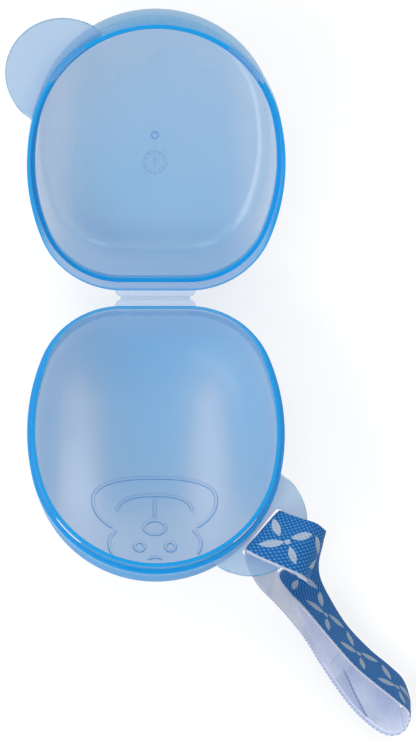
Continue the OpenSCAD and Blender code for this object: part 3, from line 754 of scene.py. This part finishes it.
def hinge():
    """A stiff leaf on each side and a thin film between, notched at both ends. Cross-sections run
    from the base's leaf to the lid's, each turned with its own side."""
    turn = np.linspace(0, math.pi / 2, 8)
    away = FILM_L / 2 + LEAF_L * (1 - np.sin(turn))
    half = FILM_W / 2 + (LEAF_W - FILM_W) / 2 * np.cos(turn)
    away = np.append(RIM_Y + LEAF_ROOT, away)
    half = np.append(LEAF_W / 2, half)
    thick = np.where(np.arange(len(away)) == len(away) - 1, FILM_T, LEAF_T)
    thick[-2] = (FILM_T + LEAF_T) / 2
    middle = -LEAF_DOWN - LEAF_T / 2
    top = thick / 2
    cut = np.minimum(LEAF_EASE, top)
    inner = half - cut
    across = np.stack([inner, half, half, inner, half / 2, half * 0, -half / 2,
                       -inner, -half, -half, -inner, -half / 2, half * 0, half / 2], -1)
    up = np.stack([-top, cut - top, top - cut, top, top, top, top,
                   top, top - cut, cut - top, -top, -top, -top, -top], -1)
    out = np.broadcast_to(away[:, None], up.shape)
    sections = []
    for side, place in ((-1, in_base), (1, in_lid)):
        rings = place(np.stack([side * across, out, middle + up], -1))
        sections.append(rings if side < 0 else rings[::-1])
    rings = np.concatenate(sections)
    depth = np.zeros(rings.shape[:2])
    depth[len(away) - 1:len(away) + 1] = FILM_DEPTH
    piece = skin("hinge_strip", rings, depth, lambda p: p,
                 first=rings[0].mean(0), last=rings[-1].mean(0))
    weld(piece)
    piece.data.materials.append(LEAF_PLASTIC)
    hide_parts("base_leaf", "lid_leaf", "hinge_film")
    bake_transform(piece)


# ---- Face relief inside the base ----

def bowl_floor(points):
    """Height of the bowl's inner face over points near its far end."""
    q = points - MID_C
    size = np.linalg.norm(q, axis=-1)
    along = (q @ (FAR_C - MID_C)) / size
    gap = FAR_C - MID_C
    reach = along + np.sqrt((FAR_R - WALL_INSET - WALL) ** 2 - gap @ gap + along ** 2)
    share = np.clip(size / reach, 0, 0.999)
    return BOWL_Z - BOWL_H_IN * (1 - share ** BOWL_POWER) ** (1 / BOWL_POWER)


def on_bowl(points, height):
    """Points on the bowl's inner face, raised along its normal."""
    step = 0.05
    dx = bowl_floor(points + [step, 0]) - bowl_floor(points - [step, 0])
    dy = bowl_floor(points + [0, step]) - bowl_floor(points - [0, step])
    normal = np.stack([-dx / (2 * step), -dy / (2 * step), np.ones_like(dx)], -1)
    normal /= np.linalg.norm(normal, axis=-1, keepdims=True)
    return np.concatenate([points, bowl_floor(points)[..., None]], -1) + height[..., None] * normal


def oval(centre, rx, ry, start, end, count, power=2.0):
    """Points on an oval, made squarer by a power over 2."""
    turn = np.radians(np.linspace(start, end, count))
    x, y = np.cos(turn), np.sin(turn)
    bend = lambda v: np.sign(v) * np.abs(v) ** (2 / power)
    return np.array(centre) + np.stack([rx * bend(x), ry * bend(y)], -1)


RIDGE_PROFILE = (  # share of the half width, share of the height, depth of the plastic
    (-1.25, -0.1, 0.0), (-1.08, 0.1, 0.5), (-0.96, 0.45, 0.75), (-0.84, 0.8, 0.5),
    (-0.66, 1.0, 0.0), (0.0, 1.02, 0.0), (0.66, 1.0, 0.0),
    (0.84, 0.8, 0.5), (0.96, 0.45, 0.75), (1.08, 0.1, 0.5), (1.25, -0.1, 0.0))


RIDGE_FADE = 3     # how many steps an open end takes to reach the full section


def ridge(name, paths, node):
    """A raised line: a low rounded section carried along plan paths on the bowl's inner face."""
    shape = np.array(RIDGE_PROFILE)
    points, faces, values = [], [], []
    for path, loop in paths:
        ahead = np.roll(path, -1, 0) - np.roll(path, 1, 0)
        if not loop:
            ahead[0], ahead[-1] = path[1] - path[0], path[-1] - path[-2]
        ahead /= np.linalg.norm(ahead, axis=-1, keepdims=True)
        left = np.stack([-ahead[:, 1], ahead[:, 0]], -1)
        spread = np.ones(len(path))
        if not loop:
            away = np.minimum(np.arange(len(path)), np.arange(len(path))[::-1])
            spread = np.sqrt(np.clip(1 - (1 - np.clip(away / RIDGE_FADE, 0, 1)) ** 2, 0.02, 1))
        half = RIDGE_W / 2 * spread[:, None] * shape[:, 0]
        flat = path[:, None] + left[:, None] * half[..., None]
        rings = on_bowl(flat, np.broadcast_to(RIDGE_H * shape[:, 1], half.shape) * spread[:, None])
        add_tube(points, faces, rings, loop)
        values += list(shape[:, 2]) * len(path)
    piece = make_object(name, in_base(np.array(points)), faces, values)
    weld(piece)
    finish_piece(piece, "base", "shell_plastic", RELIEF, node)


def face_relief():
    """A plain bear's face in raised lines. at() gives a place from the muzzle's middle."""
    mirror = np.array([-1, 1])
    at = lambda x, up: (x, RIM_Y + RIM_L - MUZZLE_FROM_END + up)
    muzzle = np.concatenate([
        oval(at(0, 0), 20.4, 12.4, 48.5, 6, 26)[:-1], oval(at(0, 0), 20.4, 8.2, 0, -180, 90, 2.5),
        oval(at(0, 0), 20.4, 12.4, 174, 131.5, 26)[1:]])
    head = oval(at(8.3, 15.2), 6.8, 6.6, -53, 36, 32)
    mouth = oval(at(0, 4.6), 12.5, 6.8, -177, -3, 60, 2.6)
    bar = np.column_stack([np.zeros(14), np.linspace(at(0, -1.5)[1], at(0, 5.8)[1], 14)])
    nose = oval(at(0, 8.9), 3.6, 2.4, 0, 360, 49)[:-1]
    eye = oval(at(5.1, 15.8), 1.6, 1.6, 0, 360, 33)[:-1]
    tuft = oval(at(0, 22.1), 3.2, 2.4, 215, 325, 16)
    ridge("muzzle_line", [(muzzle, False)], "muzzle_ridge")
    ridge("head_lines", [(head, False), (head * mirror, False)], "head_ridges")
    ridge("mouth_line", [(mouth, False), (bar, False)], "mouth_ridge")
    ridge("nose_line", [(nose, True)], "nose_ridge")
    ridge("eye_lines", [(eye, True), (eye * mirror, True)], "eye_ridges")
    ridge("tuft_line", [(tuft, False)], "tuft_ridge")


# ---- Strap ----

# Stations down the ribbon's loop, from the slot over the ear, down to the table and back under the
# ear: [x, y, z, heading, rise] of its middle line and of the direction across it
OVER_EAR = [
    [0, 0.4, 4, 228, 10], [3, -1, 6.2, 232, 11], [8.6, -3.2, 7.2, 241, 11],
    [14.2, -5.4, 5.8, 251, 3], [17.2, -7.8, 0.6, 250, -2], [16.5, -7.8, -8.5, 240, 17],
    [15.3, -9.2, -20, 210, 40]]
ON_TABLE = [
    [13.5, -13.5, 15.8, 192, 34], [15, -18.8, 10.6, 188, 40], [20, -25.6, 8.5, 190, 54],
    [27, -35, 8.8, 200, 63], [35, -43.8, 8.6, 211, 63], [41.8, -49.6, 8.6, 217, 63],
    [47.4, -54.6, 8.9, 227, 67], [50.9, -60.4, 9.4, 236, 80], [48.8, -64.2, 8.8, 268, 71],
    [46.0, -64.6, 7.7, 244, 55], [41.5, -61.8, 7.5, 228, 49], [34.2, -55.3, 7.7, 221, 53],
    [25.7, -45.1, 8.3, 218, 61], [17.2, -34, 13, 211, 70], [9.2, -24.4, 21.5, 206, 70]]
UNDER_EAR = [
    [2.5, -16.2, -10, 208, 64], [0.7, -7.4, -4.4, 216, 40], [0.2, -0.6, -2.6, 227, 14]]
STRAP_STEPS = 12
SLOT_POINT = in_base(np.append(FAR_C + SLOT_R * SLOT_OUT, LEDGE_Z - EAR_DOWN))


def strap_lines():
    """The ribbon's middle line, the direction across it and the one out of it, by a smooth curve
    through the stations."""
    middle, across = [], []
    for rows, height in ((OVER_EAR, SLOT_POINT[2]), (ON_TABLE, 0), (UNDER_EAR, SLOT_POINT[2])):
        for x, y, z, heading, rise in rows:
            h, r = math.radians(heading), math.radians(rise)
            middle.append([SLOT_POINT[0] + x, SLOT_POINT[1] + y, height + z])
            across.append([math.cos(r) * math.cos(h), math.cos(r) * math.sin(h), math.sin(r)])
    t = (np.arange(STRAP_STEPS) / STRAP_STEPS)[None, :, None]

    def curve(values):
        """A closed curve through the values: between each two a cubic that leaves and reaches
        them along the line of their neighbours."""
        b = np.array(values)[:, None]
        a, c, d = np.roll(b, 1, 0), np.roll(b, -1, 0), np.roll(b, -2, 0)
        line = 0.5 * (2 * b + (c - a) * t + (2 * a - 5 * b + 4 * c - d) * t ** 2
                      + (3 * b - a - 3 * c + d) * t ** 3)
        return line.reshape(-1, 3)

    line, side = curve(middle), curve(across)
    side /= np.linalg.norm(side, axis=1, keepdims=True)
    out = np.cross(side, np.roll(line, -1, 0) - np.roll(line, 1, 0))
    out /= np.linalg.norm(out, axis=1, keepdims=True)
    return line, side, out


STRAP_LINE, STRAP_SIDE, STRAP_NORMAL = strap_lines()
STRAP_LENGTH = np.append(0, np.cumsum(np.linalg.norm(
    np.roll(STRAP_LINE, -1, 0) - STRAP_LINE, axis=1)))


def length_at(station):
    """Length along the ribbon, from the slot to a station or stations."""
    return np.interp(np.array(station) * STRAP_STEPS, np.arange(len(STRAP_LENGTH)), STRAP_LENGTH)


EDGE_SHARE = 0.4                      # how thick a selvedge is, as a share of the ribbon's middle
LAP_FIRST = len(OVER_EAR) + 8         # the lap's first station, and its last
LAP_LAST = LAP_FIRST + 4.5
LAP_SHARE = 0.97                      # its width, as a share of the ribbon's
LAP_LIFT = -STRAP_T - LAP_GAP         # its middle layer, from the ribbon's
LAP_FADE, LAP_END = 4, 0.05           # how far from its cut ends it thins, and to what share
# The lap's turned-in hem: its edge runs aslant, from v at one station to v at the next
HEM_STATIONS, HEM_V, HEM_T = (16.5, 17.1, 18.7), (1.25, 1.02, 0.08), 0.3
HEM_EDGE, HEM_FADE = 0.06, 2.5        # the v over which it rises, and the length of its end


def ribbon_section(width, count):
    """Across the ribbon and back, as rows of v from -1 to 1 of the half width, the height over its
    middle layer, and the side it faces from -1 (inside the loop) to 1. It thins towards v = 1 and
    -1 by the eighth power of v, and its selvedges are round."""
    v = np.linspace(1, -1, count)
    half = STRAP_T / 2 * (1 - (1 - EDGE_SHARE) * v ** 8)
    edge = STRAP_T / 2 * EDGE_SHARE
    turn = np.linspace(0, math.pi, 7)[1:-1]
    bulge = edge / (STRAP_W / 2)
    flat = v * (width - bulge)
    away = (width - bulge) + bulge * np.sin(turn)
    low = np.column_stack([flat, -half, np.full(count, -1.0)])
    left = np.column_stack([-away, -edge * np.cos(turn), -np.cos(turn)])
    half_way = np.concatenate([low, left])
    return np.concatenate([half_way, -half_way])


def hem_lift(v, along):
    """How far the hem raises the lap's inner face, fading out at its end."""
    edge = np.interp(along, length_at(HEM_STATIONS), HEM_V)
    last = STRAP_LENGTH[int(HEM_STATIONS[-1] * STRAP_STEPS)]
    aside = smooth((edge[:, None] - v) / HEM_EDGE + 0.5)
    return HEM_T * aside * smooth((last - along) / HEM_FADE)[:, None]


def ribbon(name, indices, width=1.0, lift=0.0, count=15, lap=False):
    """The ribbon between stations: its section carried along the middle line. The UV is the
    distance across and along it in millimetres. A lap thins to its cut ends and has a hem, and
    without one the ribbon is a closed loop."""
    section = ribbon_section(width, count)
    line, side, out = STRAP_LINE[indices], STRAP_SIDE[indices], STRAP_NORMAL[indices]
    along = STRAP_LENGTH[indices]
    across = np.broadcast_to(section[:, 0] * STRAP_W / 2, (len(indices), len(section)))
    high = np.broadcast_to(section[:, 1], across.shape)
    if lap:
        end = np.minimum(along - along[0], along[-1] - along)
        thin = LAP_END + (1 - LAP_END) * smooth(end / LAP_FADE)
        high = STRAP_T / 2 - (STRAP_T / 2 - high) * thin[:, None]
        high = high - np.where(section[:, 2] < -0.9, hem_lift(section[:, 0], along), 0)
    rings = (line[:, None] + side[:, None] * across[..., None]
             + out[:, None] * (lift + high)[..., None])
    uv = np.stack([across, np.broadcast_to(along[:, None], across.shape)], -1).reshape(-1, 2)
    face = np.broadcast_to(section[:, 2], across.shape).ravel()
    ends = {"first": rings[0].mean(0), "last": rings[-1].mean(0)} if lap else {}
    piece = skin(name, rings, 0, lambda p: p, loop=not lap, **ends)
    if lap:
        uv = np.concatenate([uv, uv[[0, -1]]])
        face = np.append(face, [0, 0])
    layer = piece.data.uv_layers.new(name="UVMap")
    corner = np.empty(len(piece.data.loops), np.int32)
    piece.data.loops.foreach_get("vertex_index", corner)
    layer.data.foreach_set("uv", uv[corner].astype(np.float32).ravel())
    # Cloth has no depth, so the attribute holds the side that it faces
    piece.data.attributes["depth"].data.foreach_set("value", face.astype(np.float32))
    return piece


THREAD_T, STITCH_L, STITCH_COUNT = 0.3, 1.3, 7
STITCH_ROWS = (18.5, 19.0)                # stations
STITCH_UP, STITCH_ARCH = 0.02, 0.16       # over the cloth at its ends, and more at its middle


def stitches():
    """Two rows of short threads across the lap: each follows the ribbon, arches from it by a sine
    of half a turn, and tapers to half its thickness at its ends."""
    points, faces = [], []
    share = np.linspace(0, 1, 9)
    turn = np.linspace(0, 2 * math.pi, 9)[:-1]
    size = THREAD_T / 2 * np.sqrt(0.25 + 0.75 * np.sin(math.pi * share))[:, None]
    lean = LAP_LIFT - STRAP_T / 2 - STITCH_UP - STITCH_ARCH * np.sin(math.pi * share)
    for row in STITCH_ROWS:
        step = np.interp(length_at(row) + STITCH_L * share,
                         STRAP_LENGTH, np.arange(len(STRAP_LENGTH)))
        line, side, out = (
            np.stack([np.interp(step, np.arange(len(way)), column) for column in way.T], -1)
            for way in (STRAP_LINE, STRAP_SIDE, STRAP_NORMAL))
        for v in LAP_SHARE * (2 * (np.arange(STITCH_COUNT) + 0.5) / STITCH_COUNT - 1):
            middle = line + side * v * STRAP_W / 2 + out * lean[:, None]
            add_tube(points, faces, middle[:, None]
                     + side[:, None] * (np.cos(turn) * size)[..., None]
                     - out[:, None] * (np.sin(turn) * size)[..., None])
    piece = make_object("lap_stitches", points, faces, np.zeros(len(points)))
    weld(piece)
    return piece


def leaf_group():
    """1 inside a pointed leaf round a centre, turned by an angle, and 0 outside. The leaf narrows
    by the square of the way from its middle to its tips."""
    group, start, end = new_group(
        "leaf_shape",
        [("Place", "Vector", None), ("Centre", "Vector", None), ("Turn", "Float", 0.0),
         ("Half length", "Float", 4.0), ("Half width", "Float", 1.2)], ["Mask"])
    given = start.outputs
    away = add_node(group, "VectorMath", {0: given["Place"], 1: given["Centre"]},
                    operation="SUBTRACT")
    spin = add_node(group, "VectorRotate", {"Vector": away.outputs[0], "Angle": given["Turn"]},
                    rotation_type="Z_AXIS")
    parts = add_node(group, "SeparateXYZ", {0: spin.outputs[0]}).outputs
    along = math_node(group, "DIVIDE", parts["Y"], given["Half length"])
    across = math_node(
        group, "DIVIDE", math_node(group, "ABSOLUTE", parts["X"]), given["Half width"])
    full = math_node(group, "SUBTRACT", 1.0, math_node(group, "MULTIPLY", along, along))
    inside = math_node(group, "SUBTRACT", full, across)
    set_inputs(group, end, {"Mask": soft_step(group, inside, 6.0)})
    return group


def weave_group():
    """Floats of a woven ribbon: bumps on a diagonal lattice of the given pitches, 0 to 1."""
    group, start, end = new_group(
        "woven_floats",
        [("Place", "Vector", None), ("Across", "Float", 1.4), ("Along", "Float", 1.9)],
        ["Height"])
    parts = add_node(group, "SeparateXYZ", {0: start.outputs["Place"]}).outputs
    a = math_node(group, "DIVIDE", parts["X"], start.outputs["Across"])
    b = math_node(group, "DIVIDE", parts["Y"], start.outputs["Along"])
    waves = []
    for operation in ("ADD", "SUBTRACT"):
        phase = math_node(group, "MULTIPLY", math_node(group, operation, a, b), math.pi)
        wave = math_node(group, "SINE", phase)
        waves.append(math_node(group, "MULTIPLY", wave, wave))
    set_inputs(group, end, {"Height": math_node(group, "MULTIPLY", *waves)})
    return group


MOTIF_STEP = 17.0
MOTIFS = (  # across, along, turn in degrees, half length, half width
    (-2.9, 3.4, 38, 3.6, 1.25), (2.7, 5.4, -34, 3.8, 1.3), (3.6, 12.4, 52, 3.0, 1.1),
    (-3.2, 12.8, -28, 3.7, 1.3), (0.2, 9.3, 0, 1.0, 0.9))
LEAF = leaf_group()
WEAVE = weave_group()

# Pairs of a shaded and a lit colour, for painted shade and painted highlight: between the weave's
# floats and on them, or in the hollows and out of them
BLUE_CLOTH_SHADED_LIT = srgb(6, 92, 170), srgb(84, 166, 226)
PALE_CLOTH_SHADED_LIT = srgb(162, 184, 210), srgb(196, 208, 224)
WHITE_CLOTH_SHADED_LIT = srgb(170, 182, 210), srgb(212, 217, 230)
CLOTH_GLOW = srgb(192, 198, 214)          # painted light: a glow that lifts the shade on the white inner face
GLOW_STRENGTH = 0.3
CLOTH_ROUGHNESS, CLOTH_SPECULAR, CLOTH_SHEEN = 0.6, 0.2, 0.05
FLOAT_HEIGHT, PRINT_BUMP, PLAIN_BUMP = 0.0003, 0.6, 0.2       # metres, and the strengths
FLOAT_SHADE = 0.15                        # how much painted highlight the floats add to the white cloth
CLOUD_SIZE, CLOUD_DETAIL = 70, 3
SELVEDGE_W, SELVEDGE_COLOUR = 0.7, srgb(196, 205, 226)
# The last value of each is how much of its colour shows
EDGE_W, EDGE_COLOUR, EDGE_STRENGTH = 0.2, srgb(70, 92, 160), 0.8
SEAM_HALF_W, SEAM_COLOUR, SEAM_STRENGTH = 0.38, srgb(38, 62, 140), 0.85
# The strip beyond the hem: bluish where the print shows through, and darker towards the fold, a
# painted shade
STRIP_COLOURS, STRIP_STRENGTH = (srgb(158, 174, 208), srgb(110, 140, 200)), 0.75
EDGE_FROM = 14                            # the station past which the edge is dashed
DASH_PITCH, EDGE_GAPS, SEAM_GAPS = 1.3, 0.0, -0.95      # the levels of dashes() at each
TWIST_SIZE, TWIST_COLOURS = 1500, (srgb(186, 194, 214), srgb(228, 230, 238))


def dashes(tree, along, level):
    """1 where a wave along the ribbon is above a level, and 0 between."""
    wave = math_node(tree, "SINE", math_node(tree, "MULTIPLY", along, 2 * math.pi / DASH_PITCH))
    return soft_step(tree, math_node(tree, "SUBTRACT", wave, level), 4.0)


def printed_face(tree, x, y, floats):
    """Pale leaves on blue, in a pattern that repeats along the ribbon."""
    cell = add_node(tree, "CombineXYZ", {"X": x, "Y": math_node(tree, "MODULO", y, MOTIF_STEP)})
    leaves = 0.0
    for across, along, turn, length, width in MOTIFS:
        leaf = add_node(tree, "Group", {
            "Place": cell.outputs[0], "Centre": (across, along, 0), "Turn": math.radians(turn),
            "Half length": length, "Half width": width}, node_tree=LEAF)
        leaves = math_node(tree, "MAXIMUM", leaf.outputs["Mask"], leaves)
    # The floats are painted lighter and the weave between them darker, a painted highlight and
    # painted shade
    return mix(tree, leaves, mix(tree, floats, *BLUE_CLOTH_SHADED_LIT), mix(tree, floats, *PALE_CLOTH_SHADED_LIT))


def hemmed_face(tree, x, y, colour):
    """The lap's inner face: up to the hem's end it has a dark dashed seam along the hem's slanted
    edge, and a bluish strip beyond, where the print shows through, with painted shade that is
    darkest at the fold and pales in a straight slope away from it."""
    start, end = map(float, length_at(HEM_STATIONS[1:]))
    seam = add_node(tree, "MapRange", {
        "Value": y, "From Min": start, "From Max": end,
        "To Min": HEM_V[1] * STRAP_W / 2, "To Max": HEM_V[2] * STRAP_W / 2}, clamp=False)
    away = math_node(tree, "SUBTRACT", x, seam.outputs["Result"])
    here = math_node(tree, "LESS_THAN", y, end)
    beyond = math_node(tree, "MULTIPLY", here, soft_step(tree, away, 2.0))
    near_fold = math_node(
        tree, "MULTIPLY_ADD", y, -1 / (end - start), end / (end - start), clamp=True)
    colour = mix(tree, math_node(tree, "MULTIPLY", beyond, STRIP_STRENGTH), colour,
                 mix(tree, near_fold, *STRIP_COLOURS))
    dark = math_node(tree, "MULTIPLY", here, math_node(
        tree, "LESS_THAN", math_node(tree, "ABSOLUTE", away), SEAM_HALF_W))
    dark = math_node(tree, "MULTIPLY", dark, dashes(tree, y, SEAM_GAPS))
    return mix(tree, math_node(tree, "MULTIPLY", dark, SEAM_STRENGTH), colour, SEAM_COLOUR)


def ribbon_material(name, printed):
    """Woven ribbon: blue with pale leaves on its outer face, white inside with cloudy painted shade
    and a painted glow, and with a pale selvedge and a dashed edge. The weave's floats are painted
    lighter than the hollows between them. The lap has no print, but a hem."""
    material, tree, shader = new_material(name)
    place = add_node(tree, "UVMap", uv_map="UVMap").outputs["UV"]
    floats = add_node(tree, "Group", {"Place": place}, node_tree=WEAVE).outputs["Height"]
    parts = add_node(tree, "SeparateXYZ", {0: place}).outputs
    x, y = parts["X"], parts["Y"]
    cloud = add_node(tree, "TexNoise", {
        "Vector": object_place(tree), "Scale": CLOUD_SIZE, "Detail": CLOUD_DETAIL})
    # Painted shade at random places: shaded up to a third of the noise, and lit from two thirds
    shade = math_node(tree, "MULTIPLY_ADD", cloud.outputs["Fac"], 3.0, -1.0, clamp=True)
    shade = math_node(tree, "MULTIPLY_ADD", floats, FLOAT_SHADE, shade, clamp=True)
    colour, glow = mix(tree, shade, *WHITE_CLOTH_SHADED_LIT), CLOTH_GLOW
    if printed:
        side = add_node(tree, "Attribute", attribute_name="depth")
        # The print starts two thirds of the way round the selvedge
        outer = math_node(tree, "MULTIPLY_ADD", side.outputs["Fac"], 6.0, -4.0, clamp=True)
        colour = mix(tree, outer, colour, printed_face(tree, x, y, floats))
        glow = mix(tree, outer, CLOTH_GLOW, srgb(0, 0, 0))
    else:
        colour = hemmed_face(tree, x, y, colour)
    selvedge = math_node(tree, "GREATER_THAN", x, STRAP_W / 2 - SELVEDGE_W)
    colour = mix(tree, selvedge, colour, SELVEDGE_COLOUR)
    edge = math_node(tree, "GREATER_THAN", x, STRAP_W / 2 - EDGE_W)
    past = math_node(tree, "GREATER_THAN", y, float(length_at(EDGE_FROM)))
    edge = math_node(tree, "MULTIPLY", math_node(tree, "MULTIPLY", edge, past),
                     dashes(tree, y, EDGE_GAPS))
    colour = mix(tree, math_node(tree, "MULTIPLY", edge, EDGE_STRENGTH), colour, EDGE_COLOUR)
    bump = add_node(tree, "Bump", {
        "Strength": PRINT_BUMP if printed else PLAIN_BUMP, "Distance": FLOAT_HEIGHT,
        "Height": floats})
    set_inputs(tree, shader, {
        "Base Color": colour, "Roughness": CLOTH_ROUGHNESS, "Normal": bump.outputs["Normal"],
        "Specular IOR Level": CLOTH_SPECULAR, "Sheen Weight": CLOTH_SHEEN,
        "Emission Color": glow, "Emission Strength": GLOW_STRENGTH})
    return material


def thread_material():
    """White sewing thread with the fine bands of its twist."""
    material, tree, shader = new_material("white_thread")
    twist = add_node(tree, "TexWave", {"Vector": object_place(tree), "Scale": TWIST_SIZE})
    colour = ramp(tree, twist.outputs["Fac"], list(enumerate(TWIST_COLOURS)), "LINEAR")
    set_inputs(tree, shader, {"Base Color": colour, "Roughness": CLOTH_ROUGHNESS})
    return material


def strap():
    """The ribbon's loop, the lap inside it and the stitches through both."""
    first, last = LAP_FIRST * STRAP_STEPS, int(LAP_LAST * STRAP_STEPS)
    band = ribbon("ribbon_loop", np.arange(len(STRAP_LINE)))
    lap = ribbon("ribbon_lap", np.arange(first, last), LAP_SHARE, LAP_LIFT, 41, lap=True)
    thread = stitches()
    for piece, slot, material, node in (
            (band, "ribbon_print", ribbon_material("printed_ribbon", True), "strap_band"),
            (lap, "ribbon_back", ribbon_material("ribbon_inside", False), "strap_lap"),
            (thread, "thread", thread_material(), "strap_stitches")):
        finish_piece(piece, "base", slot, material, node)


# ---- Marks of the mould ----

def mould_marks():
    """Plain finishes on the solids of the gate mark and the date dial."""
    for mark, material in (("gate_mark", GATE), ("date_dial", DIAL)):
        frame["nodes"][mark].data.materials.clear()
        frame["nodes"][mark].data.materials.append(material)


# ---- Camera, floor and lights ----

SCALE = 3.05                 # pixels per millimetre at the rims
PICTURE_H = 744              # pixels
SENSOR_W = 36
VIEW_MID = np.array([-1.0, 1.74, 23.8])
CAMERA_AWAY, CAMERA_LEFT = 1100.0, 40.0

WORLD_LIGHT = 0.56
FLOOR_SIZE, FLOOR_GREY = 3.0, 0.45
SURROUND_WHITE = 0.65        # what the floor adds for the camera, so that it shows as white
FLOOR_UNDER = 0.00005        # metres
WHITE = (1, 1, 1, 1)
LAMP_AIM = np.array([0, 0, 0.02])
LAMPS = (                    # name, place and size in metres, power in watts
    ("lid_softbox", (-0.62, -0.42, 0.85), (1.3, 0.45), 5.5),
    ("base_right_softbox", (-0.34, 0.66, 1.04), (0.35, 0.9), 1.6),
    ("base_left_softbox", (0.42, 0.62, 1.0), (0.35, 0.9), 1.4))


def camera():
    """Looks down from high above, a little from the left."""
    data = bpy.data.cameras.new("camera")
    data.sensor_width = SENSOR_W
    data.lens = SCALE * CAMERA_AWAY / PICTURE_H * SENSOR_W
    data.clip_end = 20
    eye = place_object("camera", data)
    eye.location = tuple((VIEW_MID + [-CAMERA_LEFT, 0, CAMERA_AWAY]) * MM)
    eye.rotation_euler = (0, -math.atan2(CAMERA_LEFT, CAMERA_AWAY), 0)
    bpy.context.scene.camera = eye


def lamp(name, place, size, power):
    """A soft rectangular lamp that looks at the case."""
    data = bpy.data.lights.new(name, "AREA")
    data.shape = "RECTANGLE"
    data.size, data.size_y = size
    data.energy = power
    way = LAMP_AIM - np.array(place, float)
    away = math.hypot(way[0], way[1])
    box = place_object(name, data)
    box.location = place
    box.rotation_euler = (math.atan2(away, -way[2]), 0, math.atan2(way[1], way[0]) - math.pi / 2)


def white_surround(tree, shader_out, strength):
    """Adds plain white for what the camera, gloss and glass see."""
    path = add_node(tree, "LightPath").outputs
    seen = math_node(tree, "MAXIMUM", path["Is Camera Ray"], path["Is Glossy Ray"])
    seen = math_node(tree, "MAXIMUM", seen, path["Is Transmission Ray"])
    glow = add_node(tree, "Emission", {
        "Color": WHITE, "Strength": math_node(tree, "MULTIPLY", seen, strength)})
    return add_node(tree, "AddShader", {0: shader_out, 1: glow.outputs[0]}).outputs[0]


def stage():
    """A white floor just under the case, which keeps its shadow."""
    mesh = bpy.data.meshes.new("floor")
    corners = np.array([(-1, -1), (1, -1), (1, 1), (-1, 1)]) * FLOOR_SIZE
    mesh.from_pydata([(x, y, -FLOOR_UNDER) for x, y in corners.tolist()], [], [(0, 1, 2, 3)])
    material, tree, shader = new_material("white_floor")
    set_inputs(tree, shader, {
        "Base Color": (*(FLOOR_GREY,) * 3, 1), "Roughness": 0.9, "Specular IOR Level": 0.0})
    set_inputs(tree, tree.nodes["Material Output"], {
        "Surface": white_surround(tree, shader.outputs[0], SURROUND_WHITE)})
    mesh.materials.append(material)
    place_object("floor", mesh)


def lights():
    """Even white light from all round, and three soft boxes."""
    world = bpy.data.worlds.new("studio")
    bpy.context.scene.world = world
    world.use_nodes = True
    set_inputs(world.node_tree, world.node_tree.nodes["Background"], {
        "Color": WHITE, "Strength": WORLD_LIGHT})
    for row in LAMPS:
        lamp(*row)


camera()
base_shell()
base_rim()
beads()
lid_shell()
lid_rim()
ears()
hinge()
face_relief()
strap()
mould_marks()
stage()
lights()
bpy.context.scene.view_settings.view_transform = "Standard"
